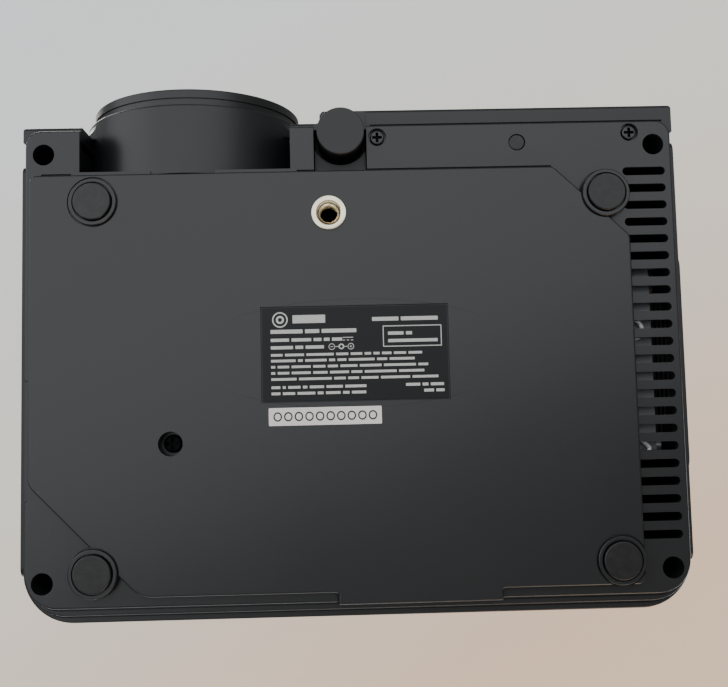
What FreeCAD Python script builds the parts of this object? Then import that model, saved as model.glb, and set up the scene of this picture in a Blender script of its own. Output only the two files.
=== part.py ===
import FreeCAD, Part
import math
import os

# Home projector, in millimetres.
# +Z is up, the lens looks along -Y, and the origin is on the table under the centre of the body.
# Heights here are drawn from a datum below the table, and main() lowers every part by FEET_Z.

# Driving dimensions: heights
FEET_Z = 1.6          # undersides of the rubber feet, so the height of the table
BOSS_Z = 2.5          # underside of the four foot bosses
PLATEAU_Z = 3.2       # underside of the raised plateau
BASE_Z = 5.9          # underside of the bottom case around the plateau
STEP_Z = 2.0          # each of the stepped ribs is this much higher than the last
FLOOR_TOP_Z = 8.6     # inside face of the floor
PANEL_Z0, PANEL_Z1 = 12.0, 66.0
PARTING_Z = 30.0      # joint between bottom case and top case
TOP_Z = 76.0

# Driving dimensions: plan
HALF_X = 98.7         # side of the case and of the bezel
BASE_HALF_X = 97.4
BASE_FRONT_Y, BASE_REAR_Y = -67.0, 74.5
CASE_FRONT_Y, CASE_REAR_Y = -64.0, 79.15
WALL = 2.0
PANEL_OUT = 1.5       # side panels stand this far out of the case
GRILLE_OUT = 1.0      # and their grilles this much further
PLATEAU_X0, PLATEAU_X1 = -95.6, 83.1
PLATEAU_Y0, PLATEAU_Y1 = -52.7, 71.3
TAB_X0, TAB_X1, TAB_Y = -6.2, 41.4, 74.8

# Driving dimensions: lens
LENS_X, LENS_Z = -50.2, 38.7
COLLAR_R = 35.5
COLLAR_Y0, COLLAR_Y1 = -73.8, -52.76
RING_R, RING_FRONT_Y = 33.4, -79.15
SLEEVE_R, SLEEVE_BORE = 29.4, 27.45
RUN = 0.05            # radial clearance of every running fit
CUT_X0, CUT_X1 = -81.3, -18.1   # cut-out of the floor and the bezel under the collar
CUT_Z = LENS_Z - math.sqrt(COLLAR_R ** 2 - (LENS_X - CUT_X0) ** 2)
FADE_R, FADE_LIFT = 43.5, 12.0  # round limit, off the lens axis, that ends the collar's flare

# Driving dimensions: bezel
BEZEL_Z0 = 8.05
BEZEL_LEFT_Y, BEZEL_RIGHT_Y = -68.8, -72.6
BEZEL_STEP_X = -9.15

# Driving dimensions: underside features
WELLS = [(-92.0, -59.65), (92.0, -59.65), (-92.0, 67.05), (92.0, 67.05)]
CENTRE_WELL = (-54.2, 27.5)
POST_R, WELL_R = 4.2, 3.2
MOAT_W, MOAT_D = 0.45, 0.9     # shadow line round the plateau, the bosses and the label
ROOT_LINE = 0.7                 # width and depth of the grooves between the rear steps
FEET = [(-76.7, -44.4), (76.3, -44.4), (-76.7, 64.2), (76.3, 64.2)]
FOOT_R, FOOT_RECESS_R, FOOT_BOSS_R = 5.6, 6.05, 7.1
INSERT_AT = (-6.8, -39.8)
BEZEL_SCREWS = [(8.25, -63.3), (84.9, -63.5)]
PLUG_AT = (50.6, -61.0)
VENT_X0, VENT_X1, VENT_Y, VENT_PITCH, VENT_COUNT, VENT_W = 82.35, 95.3, -51.4, 5.18, 22, 2.5
LABEL_AT, LABEL_SIZE = (0.15, 2.2), (54.5, 27.5)
STICKER_AT, STICKER_SIZE = (-9.0, 20.4), (33.0, 5.2)

# Driving dimensions: levelling foot
KNOB_AT = (-2.8, -64.35)
KNOB_R = 7.1
PAD_X0, PAD_X1 = -11.0, 5.0
PAD_TOP_Z = 8.2
KNOB_TOP_Z = 16.0      # inner end of the knurl, in the pad's round well
KNOB_WELL_R = 8.8
NUT_Z0, NUT_Z1 = 18.4, 23.2
KNOB_Z0 = FEET_Z + 1.15

# Driving dimensions: light path, along X at this Y and at the lens height
PATH_Y = 2.0
ENGINE_X0, ENGINE_X1 = -84.0, 32.0
ENGINE_Y0, ENGINE_Y1 = -36.0, 39.0
ENGINE_Z0, ENGINE_Z1 = 12.0, 65.0
ENGINE_WALL = 2.0
LCD_X = 6.0

# Driving dimensions: side fan
FAN_X0, FAN_X1 = 75.5, 90.5
FAN_SIZE = 60.0
FAN_Y, FAN_Z = 6.2, 41.5
LEAD_R = 0.65
LEAD_Z = 10.2

# Driving dimensions: sockets, on the main board that stands along the rear wall
BOARD_Y0, BOARD_Y1 = 62.0, 63.6
SOCKET_Z = 24.0
IO_X0, IO_X1, IO_Z0, IO_Z1 = -80.0, 50.0, 14.0, 40.0
HDMI_X, USB_X, CARD_X, AV_X, PHONE_X, DC_X = 30.0, 4.0, -18.0, -38.0, -52.0, -69.0

# Driving dimensions: keys and keystone wheel on the top
PAD_CENTRE = (34.0, 0.0)
KEY_R, KEY_RING = 4.4, 13.0
KEY_TRAVEL = 0.8
WHEEL_AT = (-12.0, 63.5)           # X, Z
WHEEL_R, WHEEL_Y0, WHEEL_Y1 = 14.5, -47.0, -41.0
AXLE_R = 1.5
PIN_THROW = 3.0
PIN_R = 1.0
LEVER_X, LEVER_Z = WHEEL_AT[0] - LCD_X, WHEEL_AT[1] - LENS_Z
LEVER_TO_WHEEL = math.hypot(LEVER_X, LEVER_Z)


def at(x, y, z):
    return FreeCAD.Vector(x, y, z)


X_AXIS = at(1, 0, 0)
Y_AXIS = at(0, 1, 0)
Z_AXIS = at(0, 0, 1)


def box(x0, x1, y0, y1, z0, z1):
    return Part.makeBox(x1 - x0, y1 - y0, z1 - z0, at(x0, y0, z0))


def rod(r, start, length, axis=Z_AXIS):
    return Part.makeCylinder(r, length, start, axis)


def tube(r_out, r_in, start, length, axis=Z_AXIS):
    extra = FreeCAD.Vector(axis).multiply(0.5)
    return rod(r_out, start, length, axis).cut(rod(r_in, start.sub(extra), length + 1, axis))


def fuse(shapes):
    first = shapes[0]
    if len(shapes) == 1:
        return first
    return first.multiFuse(shapes[1:]).removeSplitter()


def cut(shape, tools):
    return shape.cut(Part.makeCompound(tools)) if tools else shape


def outline(points, radii):
    """Closed wire through plan points, each corner rounded with its own radius (0 keeps it sharp)."""
    count = len(points)
    edges = []
    ends = []
    for i in range(count):
        here = at(points[i][0], points[i][1], 0)
        before = at(points[i - 1][0], points[i - 1][1], 0)
        after = at(points[(i + 1) % count][0], points[(i + 1) % count][1], 0)
        u = before.sub(here).normalize()
        v = after.sub(here).normalize()
        if radii[i] == 0:
            ends.append((here, None, here))
            continue
        half = math.acos(max(-1.0, min(1.0, u.dot(v)))) / 2
        setback = radii[i] / math.tan(half)
        bisector = u.add(v).normalize()
        centre = here.add(bisector.multiply(radii[i] / math.sin(half)))
        start = here.add(FreeCAD.Vector(u).multiply(setback))
        end = here.add(FreeCAD.Vector(v).multiply(setback))
        middle = centre.add(here.sub(centre).normalize().multiply(radii[i]))
        ends.append((start, middle, end))
    for i in range(count):
        start, middle, end = ends[i]
        if middle is not None:
            edges.append(Part.Arc(start, middle, end).toShape())
        following = ends[(i + 1) % count][0]
        if end.distanceToPoint(following) > 1e-6:
            edges.append(Part.LineSegment(end, following).toShape())
    return Part.Wire(edges)


def prism(points, radii, z0, z1):
    if isinstance(radii, (int, float)):
        radii = [radii] * len(points)
    face = Part.Face(outline(points, radii))
    face.translate(at(0, 0, z0))
    return face.extrude(at(0, 0, z1 - z0))


def plate(x0, x1, y0, y1, z0, z1, r_front, r_rear):
    points = [(x0, y0), (x1, y0), (x1, y1), (x0, y1)]
    return prism(points, [r_front, r_front, r_rear, r_rear], z0, z1)


def across_y(points, radii, y0, y1):
    """Prism of an X-Z outline that runs along Y."""
    shape = prism(points, radii, 0, y1 - y0)
    shape.rotate(at(0, 0, 0), X_AXIS, 90)
    shape.translate(at(0, y1, 0))
    return shape


def across_x(points, radii, x0, x1):
    """Prism of a Y-Z outline that runs along X."""
    shape = prism(points, radii, 0, x1 - x0)
    shape.rotate(at(0, 0, 0), at(1, 1, 1), 120)
    shape.translate(at(x0, 0, 0))
    return shape


def slot_y(x0, x1, y, width, z0, z1):
    """Slot with round ends that is long in X."""
    r = width / 2
    return plate(x0, x1, y - r, y + r, z0, z1, r * 0.999, r * 0.999)


def fillet(shape, radius, test):
    edges = [edge for edge in shape.Edges if test(edge)]
    return shape.makeFillet(radius, edges) if edges else shape


def level(edge, z):
    return all(abs(vertex.Z - z) < 1e-3 for vertex in edge.Vertexes)


def lens_rod(r, y0, y1):
    return rod(r, at(LENS_X, y0, LENS_Z), y1 - y0, Y_AXIS)


def lens_tube(r_out, r_in, y0, y1):
    return tube(r_out, r_in, at(LENS_X, y0, LENS_Z), y1 - y0, Y_AXIS)


def plateau_points(inset):
    """Plan of the plateau: two cut corners, and a tab at the rear that reaches the case edge."""
    i = inset
    return [(PLATEAU_X0 + i, PLATEAU_Y0 + i), (60.7 - 0.4 * i, PLATEAU_Y0 + i),
            (PLATEAU_X1 - i, -31.4 + 0.4 * i), (PLATEAU_X1 - i, PLATEAU_Y1 - i),
            (TAB_X1 - i, PLATEAU_Y1 - i), (TAB_X1 - i, TAB_Y - i), (TAB_X0 + i, TAB_Y - i),
            (TAB_X0 + i, PLATEAU_Y1 - i), (-63.2 + 0.4 * i, PLATEAU_Y1 - i),
            (PLATEAU_X0 + i, 38.6 - 0.4 * i)]


PLATEAU_RADII = [2.5, 3.0, 3.0, 2.5, 0.8, 0.8, 0.8, 0.8, 9.0, 5.0]


def post_webs(z0, z1):
    """Short webs that tie the corner posts to the side walls."""
    return [box(min(x, math.copysign(96.9, x)), max(x, math.copysign(96.9, x)), y - 3.0, y + 3.0, z0, z1)
            for x, y in WELLS]


def bottom_case():
    """Tray with the plateau, stepped rear ribs, wells, vents and the cut-out for the lens collar."""
    plateau = prism(plateau_points(0), PLATEAU_RADII, PLATEAU_Z, BASE_Z + 0.5)
    plateau = fillet(plateau, 0.6, lambda e: level(e, PLATEAU_Z))
    base = plate(-BASE_HALF_X, BASE_HALF_X, BASE_FRONT_Y, BASE_REAR_Y,
                 BASE_Z, BEZEL_Z0 - 0.05, 4.5, 10.0)
    steps = [plate(-98.0, 98.0, CASE_FRONT_Y, BASE_REAR_Y + 2.3,
                   BASE_Z + STEP_Z, BASE_Z + 2 * STEP_Z + 0.2, 1.0, 12.3),
             plate(-HALF_X, HALF_X, CASE_FRONT_Y, CASE_REAR_Y,
                   BASE_Z + 2 * STEP_Z, PARTING_Z, 1.0, 15.0)]
    solid = [plateau, fillet(base, 0.6, lambda e: level(e, BASE_Z))]
    for i, step in enumerate(steps):
        underside = BASE_Z + (i + 1) * STEP_Z
        solid.append(fillet(step, 0.45, lambda e: level(e, underside)
                            and e.BoundBox.YMax > CASE_FRONT_Y + 3))
    for x, y in FEET:
        boss = rod(FOOT_BOSS_R, at(x, y, BOSS_Z), FLOOR_TOP_Z - BOSS_Z)
        solid.append(fillet(boss, 0.3, lambda e: level(e, BOSS_Z)))
    body = fuse(solid)

    hollow = [plate(-HALF_X + WALL, HALF_X - WALL, CASE_FRONT_Y + WALL, CASE_REAR_Y - WALL,
                    FLOOR_TOP_Z + 2.7, PARTING_Z + 1, 0.5, 13.0)]
    hollow.append(plate(-BASE_HALF_X + WALL, BASE_HALF_X - WALL, CASE_FRONT_Y + WALL,
                        BASE_REAR_Y - WALL, FLOOR_TOP_Z, FLOOR_TOP_Z + 3, 0.5, 8.0))
    hollow.append(prism(plateau_points(2.4), 0.4, PLATEAU_Z + 2.4, FLOOR_TOP_Z + 1))
    body = cut(body, hollow)

    posts = [rod(POST_R, at(x, y, BASE_Z + 0.5), PARTING_Z - BASE_Z - 0.5) for x, y in WELLS]
    posts += post_webs(FLOOR_TOP_Z + 2.5, PARTING_Z)
    posts.append(rod(5.4, at(*CENTRE_WELL, PLATEAU_Z + 1), ENGINE_Z0 - PLATEAU_Z - 1.1))
    posts += [rod(FOOT_BOSS_R, at(x, y, PLATEAU_Z + 1), FLOOR_TOP_Z - PLATEAU_Z - 1) for x, y in FEET]
    posts.append(rod(6.5, at(*INSERT_AT, PLATEAU_Z + 1), ENGINE_Z0 - 0.2 - PLATEAU_Z - 1))
    top = PARTING_Z
    posts.append(box(CUT_X0 - WALL, CUT_X0 + 1, CASE_FRONT_Y + 1, PLATEAU_Y0 + WALL, FLOOR_TOP_Z - 1, top))
    posts.append(box(CUT_X1 - 1, CUT_X1 + WALL, CASE_FRONT_Y + 1, PLATEAU_Y0 + WALL, FLOOR_TOP_Z - 1, top))
    posts.append(box(CUT_X0 - WALL, CUT_X1 + WALL, PLATEAU_Y0 - 1, PLATEAU_Y0 + WALL, PLATEAU_Z + 1, top))
    body = fuse([body] + posts)

    tools = [rod(FOOT_RECESS_R, at(x, y, 0), 4.2) for x, y in FEET]
    tools += [rod(WELL_R, at(x, y, 0), 24.0) for x, y in WELLS]
    tools += [rod(1.7, at(x, y, 0), PARTING_Z + 1) for x, y in WELLS]
    tools.append(rod(3.6, at(*CENTRE_WELL, 0), 9.5))
    tools.append(rod(1.7, at(*CENTRE_WELL, 0), 20.0))
    tools.append(rod(4.5, at(*INSERT_AT, 0), 11.2))
    tools.append(rod(2.8, at(*INSERT_AT, 0), 20.0))
    tools.append(rod(5.2, at(*INSERT_AT, 0), PLATEAU_Z + 0.8))
    tools += [rod(2.75, at(x, y, 0), BASE_Z + 1.5) for x, y in BEZEL_SCREWS]
    tools += shadow_lines() + step_lines()
    tools += [rod(1.6, at(x, y, 0), BEZEL_Z0) for x, y in BEZEL_SCREWS]
    tools += [box(x - 4.6, x + 4.6, CASE_FRONT_Y - 1, y + 4.8, BEZEL_Z0 - 0.05, 19.0)
              for x, y in BEZEL_SCREWS]
    tools.append(rod(2.55, at(*PLUG_AT, 0), 20))
    tools.append(rod(3.2, at(*PLUG_AT, FLOOR_TOP_Z), 2.0))
    for i in range(VENT_COUNT):
        y = VENT_Y + i * VENT_PITCH
        tools.append(slot_y(VENT_X0, VENT_X1, y, VENT_W, BASE_Z - 0.5, FLOOR_TOP_Z + 0.5))
    vents = Part.makeCompound(tools[-VENT_COUNT:]).cut(Part.makeCompound(
        [prism(plateau_points(0), PLATEAU_RADII, 0, FLOOR_TOP_Z + 1)]
        + [rod(FOOT_BOSS_R, at(x, y, 0), 20) for x, y in FEET]))
    tools = tools[:-VENT_COUNT] + [vents]
    tools.append(box(CUT_X0, CUT_X1, BASE_FRONT_Y - 1, PLATEAU_Y0, BASE_Z - 1, PARTING_Z + 1))
    tools.append(lens_rod(COLLAR_R + 0.3, BASE_FRONT_Y - 1, PLATEAU_Y0))
    tools.append(lens_rod(SLEEVE_R + 0.6, PLATEAU_Y0 - 1, PLATEAU_Y0 + WALL + 1))
    tools.append(box(LENS_X - 37, LENS_X + 37, CASE_FRONT_Y - 1, CASE_FRONT_Y + WALL + 0.1,
                     BEZEL_Z0 - 0.05, PARTING_Z + 1))
    tools.append(box(PAD_X0, PAD_X1, BASE_FRONT_Y - 1, PLATEAU_Y0, BASE_Z - 1, PARTING_Z + 1))
    tools.append(box(-HALF_X - 1, -96.4, 8.0, 43.5, BASE_Z - 1, 10.5))
    tools.append(box(IO_X0, IO_X1, CASE_REAR_Y - WALL - 0.1, CASE_REAR_Y + 1, IO_Z0, PARTING_Z + 1))
    tools += side_windows()
    return cut(body, tools)


def shadow_lines():
    """Narrow grooves round the plateau, the foot bosses and the rating label."""
    low, high = PLATEAU_Z - 1, PLATEAU_Z + MOAT_D
    base_low, base_high = BASE_Z - 1, BASE_Z + MOAT_D
    bosses = [rod(FOOT_BOSS_R, at(x, y, 0), 20) for x, y in FEET]
    round_plateau = prism(plateau_points(-MOAT_W), PLATEAU_RADII, base_low, base_high)
    inside = prism(plateau_points(0), PLATEAU_RADII, 0, 20)
    lines = [cut(round_plateau, [inside] + bosses),
             box(PLATEAU_X0 + 3.0, plateau_points(0)[1][0], PLATEAU_Y0 - 1.0, PLATEAU_Y0,
                 base_low, BASE_Z + 0.9)]
    for x, y in FEET:
        on_plateau = tube(FOOT_BOSS_R + MOAT_W, FOOT_BOSS_R, at(x, y, low), high - low)
        lines.append(on_plateau.common(inside))
        on_base = tube(FOOT_BOSS_R + MOAT_W, FOOT_BOSS_R, at(x, y, base_low), base_high - base_low)
        lines.append(on_base.cut(inside))
    (x, y), (w, h) = LABEL_AT, LABEL_SIZE
    outer = box(x - w / 2 - MOAT_W, x + w / 2 + MOAT_W, y - h / 2 - MOAT_W, y + h / 2 + MOAT_W,
                low, high - 0.1)
    lines.append(outer.cut(box(x - w / 2, x + w / 2, y - h / 2, y + h / 2, 0, 20)))
    return lines


def step_lines():
    """Grooves at the roots of the two rear steps, which taper out round the corners."""
    lines = []
    for half, front, rear, root, r_front, r_rear in (
            (BASE_HALF_X, BASE_FRONT_Y, BASE_REAR_Y, BASE_Z + STEP_Z, 4.5, 10.0),
            (98.0, CASE_FRONT_Y, BASE_REAR_Y + 2.3, BASE_Z + 2 * STEP_Z, 1.0, 12.3)):
        inner = plate(-half, half, front, rear, root - 2, root + 2, r_front, r_rear)
        outer = plate(-half + 0.3, half - 0.3, front, rear + ROOT_LINE,
                      root - 1, root + ROOT_LINE, r_front, r_rear)
        lines.append(outer.cut(inner))
    return lines


def side_windows():
    """Openings of both case halves: the fan's on the right, the speaker's on the left."""
    fan = rod(FAN_SIZE / 2 - 2, at(HALF_X - WALL - 1, FAN_Y, FAN_Z), WALL + 2, X_AXIS)
    fan = fan.common(box(HALF_X - 10, HALF_X + 5, -60, 60, PANEL_Z0 + 1.5, PANEL_Z1 - 1.5))
    speaker = rod(17.0, at(-HALF_X - 1, 26.0, 35.0), WALL + 2, X_AXIS)
    return [fan, speaker]


def top_case():
    """Upper shell with the key field, the keystone slot and posts that take the case screws."""
    shell = plate(-HALF_X, HALF_X, CASE_FRONT_Y, CASE_REAR_Y, PARTING_Z + 0.05, TOP_Z, 1.0, 15.0)
    shell = fillet(shell, 3.0, lambda e: level(e, TOP_Z) and e.BoundBox.YMax > CASE_FRONT_Y + 3)
    hollow = plate(-HALF_X + WALL, HALF_X - WALL, CASE_FRONT_Y + WALL, CASE_REAR_Y - WALL,
                   PARTING_Z - 1, TOP_Z - 2.2, 0.5, 13.0)
    shell = cut(shell, [hollow])
    posts = [rod(POST_R, at(x, y, PARTING_Z + 0.05), TOP_Z - 2.0 - PARTING_Z) for x, y in WELLS]
    posts += post_webs(PARTING_Z + 0.05, TOP_Z - 2.0)
    posts += [rod(2.6, at(x, y, TOP_Z - 8.0), 6.5) for x, y in key_board_screws()]
    posts.append(box(WHEEL_AT[0] - 3.5, WHEEL_AT[0] + 3.5, WHEEL_Y0 - 4.0, WHEEL_Y0 - 1.3,
                     WHEEL_AT[1] - 4.0, TOP_Z - 2.0))
    shell = fuse([shell] + posts)
    tools = [rod(AXLE_R, at(WHEEL_AT[0], WHEEL_Y0 - 5.0, WHEEL_AT[1]), 5.0, Y_AXIS)]
    tools += [rod(1.55, at(x, y, PARTING_Z - 1), 14.0) for x, y in WELLS]
    tools += [rod(1.05, at(x, y, TOP_Z - 9.0), 6.0) for x, y in key_board_screws()]
    tools += [key_prism(KEY_R + 0.25, x, y, TOP_Z - 3, TOP_Z + 1) for x, y in key_places()]
    tools.append(box(WHEEL_AT[0] - 10.9, WHEEL_AT[0] + 10.9, WHEEL_Y0 - 0.6, WHEEL_Y1 + 0.6,
                     TOP_Z - 4, TOP_Z + 1))
    tools.append(box(LENS_X - 37, LENS_X + 37, CASE_FRONT_Y - 1, CASE_FRONT_Y + WALL + 0.1,
                     PARTING_Z - 1, LENS_Z + 35.0))
    tools.append(lens_rod(COLLAR_R + 0.3, CASE_FRONT_Y - 1, COLLAR_Y1 + 0.5))
    tools.append(box(IO_X0, IO_X1, CASE_REAR_Y - WALL - 0.1, CASE_REAR_Y + 1, PARTING_Z - 1, IO_Z1))
    tools += side_windows()
    return cut(shell, tools)


def collar_flare():
    """Hollow quarter-round that leads from the bezel's face into the collar.

    It fades out below, where the collar stands free in the cut-out.
    """
    r = 3.8
    lean = r * math.sqrt(0.5)

    def point(radius, y):
        return at(LENS_X + radius, y, LENS_Z)
    tip = point(COLLAR_R, BEZEL_LEFT_Y - r)
    middle = point(COLLAR_R + r - lean, BEZEL_LEFT_Y - r + lean)
    edge = point(COLLAR_R + r, BEZEL_LEFT_Y)
    behind = BEZEL_LEFT_Y + 1
    edges = [Part.Arc(tip, middle, edge).toShape(),
             Part.makeLine(edge, point(COLLAR_R + r, behind)),
             Part.makeLine(point(COLLAR_R + r, behind), point(COLLAR_R - 1, behind)),
             Part.makeLine(point(COLLAR_R - 1, behind), point(COLLAR_R - 1, BEZEL_LEFT_Y - r)),
             Part.makeLine(point(COLLAR_R - 1, BEZEL_LEFT_Y - r), tip)]
    ring = Part.Face(Part.Wire(edges)).revolve(at(LENS_X, 0, LENS_Z), Y_AXIS, 360)
    fade = rod(FADE_R, at(LENS_X, -90, LENS_Z + FADE_LIFT), 40, Y_AXIS)
    return ring.common(fade)


def front_bezel():
    """Front cover: flush around the lens, one step proud on the right, with the round lens collar."""
    depth_end = CASE_FRONT_Y - 0.1
    collar = lens_rod(COLLAR_R, COLLAR_Y0, COLLAR_Y1)
    collar = fillet(collar, 0.6, lambda e: e.BoundBox.YMax < COLLAR_Y0 + 0.01)
    left = box(-HALF_X, BEZEL_STEP_X, BEZEL_LEFT_Y, depth_end, BEZEL_Z0, TOP_Z)
    right = box(BEZEL_STEP_X, HALF_X, BEZEL_RIGHT_Y, depth_end, BEZEL_Z0, TOP_Z)
    body = fuse([left, right])
    body = fillet(body, 1.3, lambda e: e.BoundBox.YMax < BEZEL_LEFT_Y + 0.01)
    hollow = [box(-HALF_X + 2.2, BEZEL_STEP_X + 2.4, BEZEL_LEFT_Y + 2.2, 0, BEZEL_Z0 + 2, TOP_Z - 2),
              box(BEZEL_STEP_X + 2.2, HALF_X - 2.2, BEZEL_RIGHT_Y + 2.2, 0, BEZEL_Z0 + 2, TOP_Z - 2)]
    body = cut(body, hollow)
    body = cut(body, [box(CUT_X0, CUT_X1, -90, 0, -10, CUT_Z)])
    body = fuse([body, collar_flare().common(box(-HALF_X, HALF_X, -90, 0, BEZEL_Z0, TOP_Z - 0.4))])
    walls = [box(CUT_X0 - 2, CUT_X0, BEZEL_LEFT_Y + 1, depth_end, BEZEL_Z0 + 1, CUT_Z + 3),
             box(CUT_X1, CUT_X1 + 2, BEZEL_LEFT_Y + 1, depth_end, BEZEL_Z0 + 1, CUT_Z + 3)]
    lugs = [box(x - 3.4, x + 3.4, y - 3.0, y + 4.5, BEZEL_Z0, 18.7) for x, y in BEZEL_SCREWS]
    lugs += [box(x - 3.4, x + 3.4, BEZEL_RIGHT_Y + 1, y - 2.0, BEZEL_Z0, 18.7)
             for x, y in BEZEL_SCREWS]
    body = fuse([body, collar] + walls + lugs)
    tools = [lens_rod(COLLAR_R - 2.4, COLLAR_Y0 - 1, COLLAR_Y1 + 1)]
    tools += [rod(1.45, at(x, y, BEZEL_Z0 - 1), 9.0) for x, y in BEZEL_SCREWS]
    tools.append(box(KNOB_AT[0] - 8.2, KNOB_AT[0] + 7.8, BEZEL_RIGHT_Y - 1, 0, 0, PAD_TOP_Z + 0.3))
    tools.append(box(PAD_X0, PAD_X1, BASE_FRONT_Y + 0.4, 0, 0, KNOB_TOP_Z + 3.0))
    tools.append(rod(KNOB_R + 0.35, at(*KNOB_AT, 0), KNOB_TOP_Z + 0.4))
    tools.append(box(BEZEL_STEP_X + 0.9, BEZEL_STEP_X + 3, BEZEL_LEFT_Y + 1.2, 0, KNOB_TOP_Z, NUT_Z1 + 1))
    tools.append(box(62.0, 82.0, BEZEL_RIGHT_Y - 1, BEZEL_RIGHT_Y + 3, 44.0, 54.0))
    tools.append(box(KNOB_AT[0] + 9.0, HALF_X - 3.0, BASE_FRONT_Y - 0.9, BASE_FRONT_Y - 0.3,
                     BEZEL_Z0 - 1, BEZEL_Z0 + 0.7))
    return cut(body, tools)


def ir_window():
    """Dark window of the remote control receiver, with a lip behind the bezel."""
    face = box(62.15, 81.85, BEZEL_RIGHT_Y + 0.2, BEZEL_RIGHT_Y + 2.2, 44.15, 53.85)
    lip = box(60.5, 83.5, BEZEL_RIGHT_Y + 2.25, BEZEL_RIGHT_Y + 3.4, 42.5, 55.5)
    return fuse([fillet(face, 0.6, lambda e: e.BoundBox.YMax < BEZEL_RIGHT_Y + 0.25), lip, box(
        62.15, 81.85, BEZEL_RIGHT_Y + 1, BEZEL_RIGHT_Y + 3, 44.15, 53.85)])


def side_panel(side):
    """Clipped-on side cover. The right one carries the fan's louvres, the left one the speaker hole."""
    y0 = -58.3 if side < 0 else -62.3
    points = [(y0, PANEL_Z0), (66.0, PANEL_Z0), (66.0, PANEL_Z1), (y0, PANEL_Z1)]
    x_in = HALF_X + 0.05
    panel = across_x(points, 3.0, x_in, HALF_X + PANEL_OUT)
    tools = []
    if side > 0:
        frame = across_x([(-27.0, 14.0), (39.5, 14.0), (39.5, 64.0), (-27.0, 64.0)], 4.0,
                         HALF_X + 0.05, HALF_X + PANEL_OUT + GRILLE_OUT)
        panel = fuse([panel, frame])
        for i in range(11):
            z = 17.5 + i * 4.3
            reach = 26.5
            tools.append(box(HALF_X - 1, HALF_X + 4, FAN_Y - reach, FAN_Y + reach, z, z + 2.3))
    panel = cut(panel, tools)
    if side < 0:
        panel = panel.mirror(at(0, 0, 0), X_AXIS)
        panel = cut(panel, [rod(19.0, at(-HALF_X - 4, 26.0, 35.0), 6.0, X_AXIS)])
    return panel


def speaker_grille():
    """Round domed grille with rings of holes, set in the left panel."""
    bulge, r = PANEL_OUT + GRILLE_OUT - 0.05, 18.7
    ball = (r * r + bulge * bulge) / (2 * bulge)
    centre = at(-HALF_X - 0.05 - bulge + ball, 26.0, 35.0)
    dome = Part.makeSphere(ball, centre).cut(Part.makeSphere(ball - 1.2, centre))
    dome = dome.common(rod(r, at(-HALF_X - 4, 26.0, 35.0), 3.95, X_AXIS))
    rim = tube(r, r - 1.6, at(-HALF_X - 1.4, 26.0, 35.0), 1.35, X_AXIS)
    grille = fuse([dome, rim])
    tools = []
    for ring, count in ((0.0, 1), (3.6, 6), (7.2, 12), (10.8, 18), (14.4, 24)):
        for i in range(count):
            angle = 2 * math.pi * i / count
            tools.append(rod(1.0, at(-HALF_X - 5, 26.0 + ring * math.cos(angle),
                                     35.0 + ring * math.sin(angle)), 8.0, X_AXIS))
    return cut(grille, tools)


def rear_panel():
    """Socket panel in the rear wall, held by a flange behind it."""
    gap = 0.2
    face = across_y([(IO_X0 + gap, IO_Z0 + gap), (IO_X1 - gap, IO_Z0 + gap),
                     (IO_X1 - gap, IO_Z1 - gap), (IO_X0 + gap, IO_Z1 - gap)], 0.8,
                    CASE_REAR_Y - WALL - 0.2, CASE_REAR_Y - 0.25)
    flange = box(IO_X0 - 2.5, IO_X1 + 2.5, CASE_REAR_Y - WALL - 1.5, CASE_REAR_Y - WALL - 0.1,
                 IO_Z0 - 2.0, IO_Z1 + 2.5)
    body = fuse([face, flange])
    y0, y1 = CASE_REAR_Y - 6, CASE_REAR_Y + 1
    z = SOCKET_Z
    tools = [box(HDMI_X - 8.0, HDMI_X + 8.0, y0, y1, z - 3.4, z + 3.4),
             box(USB_X - 7.2, USB_X + 7.2, y0, y1, z - 3.7, z + 3.7),
             box(CARD_X - 6.4, CARD_X + 6.4, y0, y1, z - 1.6, z + 1.6),
             rod(3.3, at(AV_X, y0, z), 8, Y_AXIS),
             rod(3.3, at(PHONE_X, y0, z), 8, Y_AXIS),
             rod(4.6, at(DC_X, y0, z), 8, Y_AXIS)]
    return cut(body, tools)


def rubber_feet():
    feet = []
    for x, y in FEET:
        disc = rod(FOOT_R, at(x, y, FEET_Z), 4.15 - FEET_Z)
        feet.append(fillet(disc, 0.4, lambda e: level(e, FEET_Z)))
    return Part.makeCompound(feet)


def tripod_insert():
    """Flanged brass insert for a quarter-inch tripod screw."""
    x, y = INSERT_AT
    body = fuse([rod(5.15, at(x, y, PLATEAU_Z - 0.5), 1.25), rod(4.45, at(x, y, PLATEAU_Z), 7.9)])
    mouth = Part.makeCone(3.55, 2.6, 0.95, at(x, y, PLATEAU_Z - 0.5))
    return cut(body, [rod(2.6, at(x, y, PLATEAU_Z - 1), 12.0), mouth])


def screw(x, y, z, head_r, head_h, shank_r, length):
    """Cross-head screw that points up, with its head's underside at z."""
    body = fuse([rod(head_r, at(x, y, z - head_h), head_h), rod(shank_r, at(x, y, z), length)])
    body = fillet(body, head_h * 0.35, lambda e: level(e, z - head_h))
    reach, half = head_r * 0.7, head_r * 0.2
    recess = [box(x - reach, x + reach, y - half, y + half, z - head_h - 1, z - head_h * 0.15),
              box(x - half, x + half, y - reach, y + reach, z - head_h - 1, z - head_h * 0.15)]
    return cut(body, [recess[0].fuse(recess[1])])


def case_screws():
    screws = [screw(x, y, 24.0, 2.7, 2.0, 1.5, 16.0) for x, y in WELLS]
    screws.append(screw(*CENTRE_WELL, 9.5, 2.7, 2.0, 1.5, 6.0))
    return Part.makeCompound(screws)


def bezel_screws():
    return Part.makeCompound([screw(x, y, BASE_Z + 1.5, 2.15, 1.3, 1.4, 8.4)
                              for x, y in BEZEL_SCREWS])


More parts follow.
